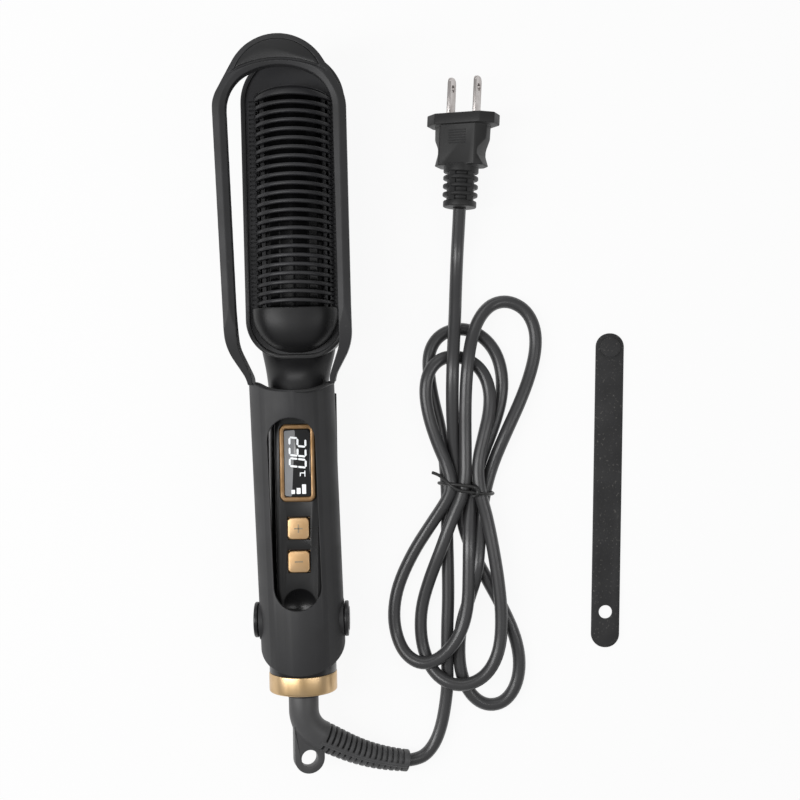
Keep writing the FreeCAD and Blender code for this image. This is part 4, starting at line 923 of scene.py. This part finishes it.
@dataclass
class CombDome:
    """A dome that closes the comb at one end.

    Fields:
        name: The piece's name.
        outline: Its plan.
        lip: The station of its straight edge.
        depth: How far it reaches from there, negative towards the handle.
        half: Half its width.
        corner: The radius of its far corners, for the square plan.
        floor: The height of its foot.
        rise: Its height above the foot.
        edge: The radius of its rounded lip.
        flat: How boxy its rise is, from 1 for an ellipse downwards.
        steps: The rings between foot and top.
        corner_steps: The steps round a far corner.
        sides: The points round the circle that a bow is cut from.
        clear: How far above the foot the rounded lip starts.
    """

    name: str = "comb_end"
    outline: Outline = Outline.SQUARE
    lip: float = -46.25
    depth: float = -19.5
    half: float = 19.1
    corner: float = 17.6
    floor: float = 23.75
    rise: float = 13.95
    edge: float = 0.35
    flat: float = 0.74
    steps: int = 16
    corner_steps: int = 14
    sides: int = 64
    clear: float = 0.2

    def square(self) -> Piece:
        """Models the square plan.

        Returns:
            The plan, in edit mode.
        """
        middle = (self.lip + self.depth / 2) * MM
        bpy.ops.mesh.primitive_plane_add(size=1.0, location=(0.0, middle, self.floor * MM))
        piece = bpy.context.object
        piece.scale = (self.half * 2 * MM, abs(self.depth) * MM, 1.0)
        settled(piece)
        bpy.ops.object.mode_set(mode="EDIT")
        bpy.ops.mesh.select_mode(type="VERT")
        bpy.ops.mesh.select_all(action="DESELECT")
        mesh = bmesh.from_edit_mesh(piece.data)
        for vertex in mesh.verts:
            vertex.select = vertex.co.y < middle
        mesh.select_flush(True)
        bmesh.update_edit_mesh(piece.data)
        bpy.ops.mesh.bevel(offset=self.corner * MM, segments=self.corner_steps, affect="VERTICES")
        return piece

    def bow(self) -> Piece:
        """Models the bowed plan.

        Returns:
            The plan, in edit mode.
        """
        bpy.ops.mesh.primitive_circle_add(vertices=self.sides, radius=1.0, fill_type="NGON",
                                          location=(0.0, self.lip * MM, self.floor * MM))
        piece = bpy.context.object
        piece.scale = (self.half * MM, abs(self.depth) * MM, 1.0)
        edited(settled(piece))
        bpy.ops.mesh.bisect(plane_co=(0.0, self.lip * MM, 0.0), plane_no=(0.0, 1.0, 0.0), use_fill=False,
                            clear_inner=True)
        return piece

    def built(self, finish: Finish) -> Piece:
        """Builds the dome from its plan, drawn in as it rises.

        Args:
            finish: Its finish.

        Returns:
            The dome.
        """
        unselected()
        piece = self.square() if self.outline is Outline.SQUARE else self.bow()
        bpy.ops.mesh.select_all(action="SELECT")
        piece.name = self.name
        foot = Vector((0.0, self.lip, self.floor)) * MM
        width, height = 1.0, 0.0
        for step in range(1, self.steps + 1):
            # The last ring stays half a step short of the top, where it would shrink to a point.
            turn = math.pi / 2 * step / (self.steps + 0.5)
            wide, high = math.cos(turn) ** self.flat, math.sin(turn) ** self.flat
            bpy.ops.mesh.extrude_region_move(
                TRANSFORM_OT_translate={"value": (0.0, 0.0, (high - height) * self.rise * MM)})
            foot.z = (self.floor + high * self.rise) * MM
            bpy.ops.transform.resize(value=(wide / width, wide / width, 1.0), center_override=foot)
            width, height = wide, high
        closed()
        rounded(piece, self.on_lip, self.edge)
        return finished(smooth(piece, 50.0), finish, "root")

    def on_lip(self, edge: MeshEdge) -> bool:
        """Tells whether an edge lies between the flat of the lip and the crown.

        Args:
            edge: The edge.

        Returns:
            True if it does.
        """
        places = [vertex.co / MM for vertex in edge.verts]
        if any(abs(place.y - self.lip) > TOUCH or place.z < self.floor + self.clear for place in places):
            return False
        flats = [abs(face.normal.y) > FACING for face in edge.link_faces]
        return any(flats) and not all(flats)


@dataclass
class Comb:
    """The comb insert: narrow rounded ribs across the heater.

    Fields:
        rib_round: The width of a rib's rounded edge.
        half: Half the width of the vault that the ribs make.
        top: The height of its crown.
        floor: The height of the flat ledge at its foot.
        front: The station where the front end starts.
        bow: How much more the front end bows for each millimetre beyond that.
        sag: How far the feet of the ribs lie behind their middles.
        margin: How far beyond the vault's sides the bow reaches.
        blend: The height over which it sets in.
        ledge: The height above the floor up to which nothing moves.
        outer: The share of the vault's ellipse from which an edge counts as an outer one.
        low: How far above the floor the rounding starts.
        wide: How far from the middle it ends.
        ends: The stations between which it runs.
    """

    rib_round: float = 0.55
    half: float = 17.2
    top: float = 37.6
    floor: float = 23.8
    front: float = 46.8
    bow: float = 0.5
    sag: float = 1.1
    margin: float = 0.2
    blend: float = 2.5
    ledge: float = 0.3
    outer: float = 0.95
    low: float = 2.0
    wide: float = 16.3
    ends: tuple[float, float] = (-50.0, 49.8)

    def outside(self, place: Vector) -> bool:
        """Tells whether a place lies on the outer side of a rib.

        Args:
            place: The place.

        Returns:
            True if it does.
        """
        x, y, z = place
        share = (x / self.half) ** 2 + ((z - self.floor) / (self.top - self.floor)) ** 2
        inside = share < self.outer or z < self.floor + self.low or abs(x) > self.wide
        return not inside and self.ends[0] < y < self.ends[1]

    def on_rib(self, edge: MeshEdge) -> bool:
        """Tells whether an edge runs along the outer side of a rib."""
        return sharp(edge) and all(self.outside(vertex.co / MM) for vertex in edge.verts)

    def bowed(self, piece: Piece, above: float) -> None:
        """Draws the sides of the ribs or of the front end back, so that they bow in plan.

        Args:
            piece: The piece.
            above: The height from which it is drawn back.
        """
        for vertex in piece.data.vertices:
            x, y, z = vertex.co / MM
            if z > above and abs(x) < self.half + self.margin:
                share = (x / self.half) ** 2 * min((z - above) / self.blend, 1.0)
                vertex.co.y -= (self.sag * share + max(y - self.front, 0.0) * self.bow * share) * MM

    def built(self, frame: dict) -> None:
        """Builds the comb from its solid, with the ribs rounded.

        Args:
            frame: The loaded frame.
        """
        piece = merged_node(frame, "comb_insert", "comb_insert_moulded")
        rounded(piece, self.on_rib, self.rib_round)
        self.bowed(piece, self.floor + self.ledge)
        finished(smooth(piece, 38.0), HEAT_NYLON, "root", node="comb_insert")


@dataclass
class TipInlay:
    """The crescent on the cap, which sits in a clear groove.

    Fields:
        shrink: How far each side stands back from its seat.
        edge: The width of its rounded edge.
    """

    shrink: float = 0.45
    edge: float = 0.22

    def built(self, frame: dict) -> None:
        """Builds the inlay a little smaller than its seat, so that the groove shows.

        Args:
            frame: The loaded frame.
        """
        piece = merged_node(frame, "tip_inlay", "tip_inlay_moulded")
        low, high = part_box("tip_inlay")
        middle = (Vector(low) + Vector(high)) / 2
        across, along = (1.0 - 2.0 * self.shrink * MM / (high[axis] - low[axis]) for axis in (0, 1))
        edited(piece)
        bpy.ops.transform.resize(value=(across, along, 1.0), center_override=middle)
        bpy.ops.object.mode_set(mode="OBJECT")
        eased(piece, self.edge, angle=40.0, clamp=True)
        finished(smooth(piece, 40.0), SATIN_ABS, "lever", node="tip_inlay")


@dataclass
class Sleeve:
    """The lever's sleeve: its mouth sweeps up into the arms of the hoop and has a rounded rim.

    Fields:
        axis: The height of the handle's axis.
        radius: The radius of the rim's line.
        foot: The station of the mouth over the middle.
        sweep: How far the mouth sweeps towards the head at its sides.
        power: How late the sweep sets in.
        limit: The station where the sweep ends.
        band: How far behind the mouth's foot its edge is taken along.
        side: How far round it is reshaped, in degrees from the top.
        rim: The thickness of the rim.
        rim_back: How far the rim's line lies behind the mouth.
        rim_points: The control points along it.
        reach: How far the rim goes round, in degrees from the top.
        edge: The radius of the moulded edges.
        mouth_zone: The station from which edges belong to the mouth.
        window_half: How far from the middle edges belong to the window.
        lean: The lever's side play, taken up, in degrees.
        pivot: The station that it leans about.
        opening: How far the lever stands open at rest, in degrees.
    """

    axis: float = 18.9
    radius: float = 17.9
    foot: float = -81.7
    sweep: float = 8.6
    power: float = 1.3
    limit: float = -78.6
    band: float = 1.5
    side: float = 85.0
    rim: float = 1.9
    rim_back: float = 0.35
    rim_points: int = 17
    reach: float = 70.0
    edge: float = 0.5
    mouth_zone: float = -100.0
    window_half: float = 13.5
    lean: float = 0.35
    pivot: float = -185.2
    opening: float = 3.0

    def opened(self) -> Matrix:
        """The turn that opens the closed lever about its pins."""
        return turned((0.0, self.pivot, self.axis), self.opening, "X")

    def mouth(self, angle: float) -> float:
        """The station of the mouth at an angle from the top, in radians."""
        return min(self.foot + self.sweep * (1 - math.cos(angle)) ** self.power, self.limit)

    def moulded(self, edge: MeshEdge) -> bool:
        """Tells whether an edge is a sharp one of the mouth or of the window, clear of the pins.

        Args:
            edge: The edge.

        Returns:
            True if it is.
        """
        places = [vertex.co / MM for vertex in edge.verts]
        return sharp(edge) and all(y > self.mouth_zone or abs(x) < self.window_half and z > self.axis
                                   for x, y, z in places)

    def leaned(self, piece: Piece) -> Piece:
        """Turns a piece of the lever about its pivot, level with the floor."""
        piece.matrix_world = turned((0.0, self.pivot, 0.0), self.lean, "Z")
        return settled(piece)

    def built(self, frame: dict) -> None:
        """Builds the sleeve and its rim.

        Args:
            frame: The loaded frame.
        """
        piece = merged_node(frame, "lever_cover", "lever_cover_moulded")
        opened = self.opened()
        shut = opened.inverted()
        for vertex in piece.data.vertices:
            x, y, z = (shut @ vertex.co) / MM
            angle = abs(math.atan2(x, z - self.axis))
            if y > self.foot - self.band and angle < math.radians(self.side):
                vertex.co = opened @ (Vector((x, self.mouth(angle), z)) * MM)
        rounded(piece, self.moulded, self.edge)
        finished(self.leaned(smooth(piece, 40.0)), MATTE_ABS, "lever", node="lever_cover")
        # The rim's darker satin finish also paints the shade on the inner wall of the mouth.
        finished(self.leaned(self.rim_piece()), SATIN_ABS, "lever")

    def rim_piece(self) -> Piece:
        """Models the rounded rim along the mouth; its dark line also paints the shade on the mouth's inner
        wall.

        Returns:
            The rim.
        """
        last = self.rim_points - 1
        angles = [math.radians(self.reach * (2 * index / last - 1)) for index in range(self.rim_points)]
        path = [(self.radius * math.sin(angle), self.mouth(angle) - self.rim_back,
                 self.axis + self.radius * math.cos(angle)) for angle in angles]
        return solid(line("sleeve_rim_painted_shade", self.opened(), path, self.rim, order=4, rings=4))


# ---------------------------------------------------------------- the twist tie

@dataclass
class TwistTie:
    """A coated wire, laid twice round the bundle, with one end standing off.

    Fields:
        centre: Where the bundle's middle is, on the floor.
        turn: The tie's turn about the vertical, in degrees.
        thickness: The wire's diameter.
        path: The wire's control points: across the bundle, along it and up.
    """

    centre: Point = (75.3, -128.7, 0.0)
    turn: float = -7.5
    thickness: float = 1.5
    path: tuple[Point, ...] = (
        (-16.2, 5.4, 6.4), (-14.6, 5.2, 7.4), (-12.0, 4.2, 9.4), (-9.6, 2.4, 11.8), (-7.0, 0.6, 13.2),
        (-4.0, -0.9, 13.7), (0.0, -1.1, 13.6), (4.0, -1.1, 13.5), (8.0, -1.2, 13.0), (10.6, -1.1, 11.0),
        (12.5, -1.0, 7.6), (12.7, -0.8, 4.0), (11.4, -0.6, 0.9), (0.0, -0.2, 0.8), (-11.4, 0.4, 0.9),
        (-12.8, 0.9, 4.4), (-12.4, 1.2, 7.4), (-10.6, 1.4, 10.6), (-7.6, 1.5, 12.7), (-3.0, 1.6, 13.6),
        (1.6, 1.6, 13.5), (3.8, 1.3, 13.6), (4.8, 0.2, 14.9), (5.0, -1.2, 15.1), (4.4, -2.5, 14.0),
        (3.0, -2.7, 13.4))

    def built(self) -> Piece:
        """Builds the tie and returns it."""
        piece = solid(line("twist_tie_wire", moved(self.centre, self.turn), self.path, self.thickness))
        return finished(piece, TIE_WIRE, "cord_swivel_body", node="twist_tie")


# ---------------------------------------------------------------- the display and the buttons

class Bar(Enum):
    """The seven bars of a digit: how far up and to the side each lies, and whether it is level."""

    TOP = (1.0, 0.0, True)
    UPPER_LEFT = (0.5, -0.5, False)
    UPPER_RIGHT = (0.5, 0.5, False)
    MIDDLE = (0.0, 0.0, True)
    LOWER_LEFT = (-0.5, -0.5, False)
    LOWER_RIGHT = (-0.5, 0.5, False)
    FOOT = (-1.0, 0.0, True)


DIGITS: dict[str, tuple[Bar, ...]] = {
    "2": (Bar.TOP, Bar.UPPER_RIGHT, Bar.MIDDLE, Bar.LOWER_LEFT, Bar.FOOT),
    "3": (Bar.TOP, Bar.UPPER_RIGHT, Bar.MIDDLE, Bar.LOWER_RIGHT, Bar.FOOT),
    "0": (Bar.TOP, Bar.UPPER_LEFT, Bar.UPPER_RIGHT, Bar.LOWER_LEFT, Bar.LOWER_RIGHT, Bar.FOOT),
}


@dataclass
class Display:
    """What the screen shows: a temperature, its unit and a level, read with the tip to the left, and a grey
    patch of painted reflection on its lens.

    Fields:
        centre: The middle of the screen.
        lift: How far the lit bars float over the lens.
        thickness: Their height.
        stroke: The width of a digit's bar.
        half_rise: Half a digit's height.
        half_run: Half its width.
        upright: The length of an upright bar, as a share of half_rise.
        level: The length of a level bar, as a share of half_run.
        blunt: The cut at a bar's corners, as a share of the stroke.
        slant: The digits' slant, as a slope.
        middle: How far across the screen the digits' middles lie.
        stations: Each digit and how far along the screen it lies.
        unit_bar: The length, the width and the cut corners of the unit's bars.
        unit: For each of them, how far across and along it lies, its share of the length and its turn.
        levels: For each block of the level, how far across it lies, its width and its rise.
        level_foot: How far along the screen the blocks stand.
        level_blunt: The cut at their corners.
        reflection_patch: The width, length, height and cut corners of the grey patch that paints a
            reflection on the lens.
        reflection_patch_place: Where it lies from the middle of the screen, and over the lens.
        reflection_patch_flare: How much longer its free edge is, as a share.
        reflection_patch_slope: The slant of that edge.
    """

    centre: tuple[float, float] = (-0.1, -114.9)
    lift: float = 0.02
    thickness: float = 0.03
    stroke: float = 0.86
    half_rise: float = 3.5
    half_run: float = 1.72
    upright: float = 0.95
    level: float = 1.7
    blunt: float = 0.42
    slant: float = 0.12
    middle: float = 0.25
    stations: tuple[tuple[str, float], ...] = (("2", -9.6), ("3", -5.3), ("0", -0.45))
    unit_bar: Point = (2.6, 0.42, 0.05)
    unit: tuple[Section, ...] = (
        (3.3, 4.3, 1.0, 90.0), (1.3, 4.65, 0.58, 90.0), (2.3, 4.0, 0.72, 0.0))
    levels: tuple[Point, ...] = ((-1.95, 1.6, 1.8), (0.45, 1.75, 2.6), (2.85, 1.75, 4.15))
    level_foot: float = 13.2
    level_blunt: float = 0.12
    reflection_patch: Section = (3.9, 28.6, 0.01, 0.5)
    reflection_patch_place: Point = (-3.62, -0.3, 0.005)
    reflection_patch_flare: float = 1.022
    reflection_patch_slope: float = 0.058

    def spot(self, across: float, along: float, height: float, degrees: float = 0.0) -> Matrix:
        """A place on the screen, with a turn about the vertical."""
        return moved((self.centre[0] + across, self.centre[1] - along, height), degrees)

    def digits(self, height: float) -> list[Piece]:
        """Models the digits.

        Args:
            height: The height of their feet.

        Returns:
            Their bars.
        """
        places = {True: [], False: []}
        for digit, station in self.stations:
            for place in DIGITS[digit]:
                up, side, level = place.value
                along = station + side * 2 * self.half_run + up * self.half_rise * self.slant
                degrees = 90.0 if level else -math.degrees(math.atan(self.slant))
                places[level].append(self.spot(self.middle + up * self.half_rise, along, height, degrees))
        section = (self.stroke, self.thickness, self.stroke * self.blunt)
        return (copied(bar(self.half_rise * self.upright, *section), places[False])
                + copied(bar(self.half_run * self.level, *section), places[True]))

    def signs(self, height: float) -> list[Piece]:
        """Models the unit and the level.

        Args:
            height: The height of their feet.

        Returns:
            Their bars.
        """
        length, width, blunt = self.unit_bar
        places = [self.spot(across, along, height, degrees) @ Matrix.Scale(share, 4, (1.0, 0.0, 0.0))
                  for across, along, share, degrees in self.unit]
        lit = copied(bar(length, width, self.thickness, blunt), places)
        for across, width, rise in self.levels:
            place = self.spot(across, self.level_foot - rise / 2, height)
            lit += copied(bar(width, rise, self.thickness, self.level_blunt), [place])
        return lit

    def built(self, floor: float) -> None:
        """Builds the lit bars and the grey patch of painted reflection on the screen.

        Args:
            floor: The height of the lens face.
        """
        height = floor + self.lift
        lit = joined("display_bars", self.digits(height) + self.signs(height))
        finished(lit, SEGMENT_WHITE, "root")
        # The grey patch is a painted reflection: a fixed grey sheen laid over the lens.
        reflection_patch = bar(*self.reflection_patch)
        for vertex in reflection_patch.data.vertices:
            if vertex.co.x > 0.0:
                vertex.co.y *= self.reflection_patch_flare
                vertex.co.x += vertex.co.y * self.reflection_patch_slope
        across, along, over = self.reflection_patch_place
        reflection_patch.matrix_world = self.spot(across, along, floor + over)
        reflection_patch.name = "display_painted_reflection"
        finished(settled(reflection_patch), PAINTED_REFLECTION, "root")


@dataclass
class ButtonMarks:
    """The faint plus and minus signs on the button caps.

    Fields:
        length: The length of a stroke.
        stroke: Its width.
        height: Its height.
        blunt: The cut at its corners.
        sunk: How deep its foot lies in the cap.
    """

    length: float = 3.7
    stroke: float = 0.55
    height: float = 0.05
    blunt: float = 0.1
    sunk: float = 0.01

    def built(self) -> None:
        """Builds both signs."""
        for node, turns in (("plus_button", (0.0, 90.0)), ("minus_button", (0.0,))):
            low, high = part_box(node)
            x, y = ((low[axis] + high[axis]) / 2 / MM for axis in (0, 1))
            places = [moved((x, y, high[2] / MM - self.sunk), degrees) for degrees in turns]
            strokes = copied(bar(self.length, self.stroke, self.height, self.blunt), places)
            sign = joined(node.replace("button", "sign"), strokes)
            finished(sign, BUTTON_PRINT, node + "_body")


# ---------------------------------------------------------------- the plug and the strain relief

@dataclass
class PlugGrip:
    """Fine moulded grip lines on the flat of the plug, and a web on each side of its boot.

    Fields:
        foot: Where the cord enters the plug.
        yaw: The plug's turn about the vertical, in degrees.
        roll: Its roll about its own length, in degrees.
        count: The number of lines.
        first: How far from the foot the first line lies.
        pitch: The step from line to line.
        face: How far above the foot the plug's flat lies.
        line: The length, the width, the height and the cut corners of a line.
        web: The same for a web, whose length runs across the plug.
        web_place: How far to the side, along and up a web lies.
    """

    foot: Point = (74.2, -0.4, 11.9)
    yaw: float = -3.4
    roll: float = -26.0
    count: int = 6
    first: float = 28.4
    pitch: float = 1.15
    face: float = 6.3
    line: Section = (8.2, 0.5, 0.4, 0.15)
    web: Section = (2.6, 13.0, 2.3, 0.3)
    web_place: Point = (4.1, 9.2, 4.0)

    def built(self) -> Piece:
        """Builds the lines and the webs.

        Returns:
            The piece with all of them.
        """
        upright = moved(self.foot, self.yaw)
        flat = upright @ Matrix.Rotation(math.radians(self.roll), 4, "Y")
        lines = copied(bar(*self.line), [flat @ moved((0.0, self.first + self.pitch * index, self.face))
                                         for index in range(self.count)])
        side, along, up = self.web_place
        webs = copied(bar(*self.web), [upright @ moved((across, along, up)) for across in (-side, side)])
        piece = joined("plug_grip", lines + webs)
        return finished(piece, SOFT_RUBBER, "cord_swivel_body")


@dataclass
class ReliefWeb:
    """The moulded web that joins the ribs of the strain relief and leaves a row of slots on each side.

    Fields:
        foot: Where the boot leaves the swivel.
        tilt: The boot's turn about the handle's axis, in degrees.
        thickness: The web's thickness.
        path: Its control points, from the foot.
    """

    foot: Point = (0.0, -219.25, 18.9)
    tilt: float = 16.0
    thickness: float = 2.3
    path: tuple[Point, ...] = (
        (6.51, -20.58, 5.5), (17.19, -26.07, 5.1), (29.71, -31.35, 4.5), (42.83, -34.77, 4.1),
        (46.9, -35.5, 3.9))

    def built(self) -> None:
        """Builds the web."""
        place = moved(self.foot, self.tilt, "Y")
        piece = solid(line("relief_web", place, self.path, self.thickness, steps=6))
        finished(piece, BOOT_RUBBER, "cord_swivel_body")


# ---------------------------------------------------------------- what stands in for a sub-part

FINISHED: tuple[tuple[Finish, str], ...] = (
    (MATTE_ABS, "rear_cover lever_cover guard_hoop"),
    (SATIN_ABS, "head_rear_shell core_rear lcd_module tact_switches pivot_pin_left pivot_pin_right "
                "power_switch power_button tip_inlay swivel_barrel"),
    (GLOSS_ABS, "neck core_front"), (HEAT_NYLON, "comb_insert heater_carrier contact_holder"),
    (COATED_ALUMINIUM, "heater_plate"), (STEEL, "heating_element thermal_fuse lever_spring"),
    (MICA, "mica_sheet"), (GLASS_BEAD, "thermistor"), (LAMINATE, "main_board"),
    (BRASS, "brush_contacts slip_rings"), (GOLD_FRAME, "screen_bezel"), (LENS_ACRYLIC, "screen_lens"),
    (GOLD_TURNED, "gold_end_ring"), (GOLD_SATIN, "plus_button minus_button"),
    (STRAP_RUBBER, "cord_strap strap_stud"), (BOOT_RUBBER, "strain_relief"),
    (CORD_PVC, "cord_lead cord_hank cord_tail"), (TIE_WIRE, "twist_tie"), (SOFT_RUBBER, "plug_body"),
    (NICKEL, "plug_blades"),
)
NODE_FINISHES = {node: finish for finish, nodes in FINISHED for node in nodes.split()}


@dataclass(frozen=True)
class StandIn:
    """A copy of a sub-part, with its edges rounded as a moulded or pressed piece's are.

    Fields:
        node: The sub-part.
        body: The body it rides on.
        width: The width of the rounded edge.
        segments: The steps across it.
        across: The share of its width that the piece keeps.
        border: How far its outer sides move out.
        opening: The share of its half width and half length that its opening takes, where they move.
    """

    node: str
    body: str
    width: float
    segments: int = 2
    across: float = 1.0
    border: float = 0.0
    opening: tuple[float, float] = (0.82, 0.92)

    def bordered(self, piece: Piece) -> None:
        """Moves the outer sides of a frame out and leaves its opening as it is.

        Args:
            piece: The frame.
        """
        low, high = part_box(self.node)
        for axis, inner in enumerate(self.opening):
            middle, half = (low[axis] + high[axis]) / 2, (high[axis] - low[axis]) / 2
            for vertex in piece.data.vertices:
                share = (vertex.co[axis] - middle) / half
                if abs(share) > inner:
                    step = (abs(share) - inner) / (1.0 - inner) * self.border * MM
                    vertex.co[axis] += math.copysign(step, share)

    def built(self, frame: dict) -> Piece:
        """Builds the piece.

        Args:
            frame: The loaded frame.

        Returns:
            The piece.
        """
        piece = merged_node(frame, self.node, self.node + "_finished")
        smooth(eased(piece, self.width, self.segments), 40.0)
        piece.scale = (self.across, 1.0, 1.0)
        settled(piece)
        if self.border:
            self.bordered(piece)
        return finished(piece, NODE_FINISHES[self.node], self.body, node=self.node)


STAND_INS: tuple[StandIn, ...] = (
    StandIn("rear_cover", "root", 0.30, across=0.965), StandIn("head_rear_shell", "root", 0.35),
    StandIn("heater_plate", "root", 0.25), StandIn("core_front", "root", 0.35),
    StandIn("screen_bezel", "root", 0.5, 4, border=0.55), StandIn("screen_lens", "root", 0.15),
    StandIn("plus_button", "plus_button_body", 0.45, 3),
    StandIn("minus_button", "minus_button_body", 0.45, 3),
    StandIn("gold_end_ring", "root", 0.35, 3), StandIn("pivot_pin_left", "root", 0.7, 4),
    StandIn("pivot_pin_right", "root", 0.4, 3), StandIn("power_button", "power_button_body", 0.3),
    StandIn("strain_relief", "cord_swivel_body", 0.30), StandIn("plug_body", "cord_swivel_body", 0.5, 3),
    StandIn("plug_blades", "cord_swivel_body", 0.25), StandIn("cord_strap", "root", 0.25),
    StandIn("strap_stud", "root", 0.4, 3),
)


def main() -> None:
    """Builds the whole scene."""
    logging.basicConfig(level=logging.INFO, format="%(message)s")
    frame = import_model()
    Studio().built()
    for name, node in frame["nodes"].items():
        smooth(dressed(node, NODE_FINISHES[name]))
    made = {piece.node: piece.built(frame) for piece in STAND_INS}
    Hoop().built(frame)
    comb = Comb()
    comb.built(frame)
    # The end dome takes the darker copy of the comb's nylon: painted shade on its slope.
    CombDome().built(PAINTED_SHADE_NYLON)
    front = CombDome("comb_front", Outline.BOW, lip=50.0, depth=1.7, half=17.15, rise=13.75, edge=0.4,
                     flat=1.0, steps=14)
    comb.bowed(front.built(HEAT_NYLON), 0.0)
    Sleeve().built(frame)
    TipInlay().built(frame)
    Neck().built()
    tie = TwistTie().built()
    grip = PlugGrip().built()
    ReliefWeb().built()
    Cord().built([made["plug_body"], made["plug_blades"], grip, tie])
    Display().built(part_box("screen_lens")[1][2] / MM)
    ButtonMarks().built()


if __name__ == "__main__":
    main()
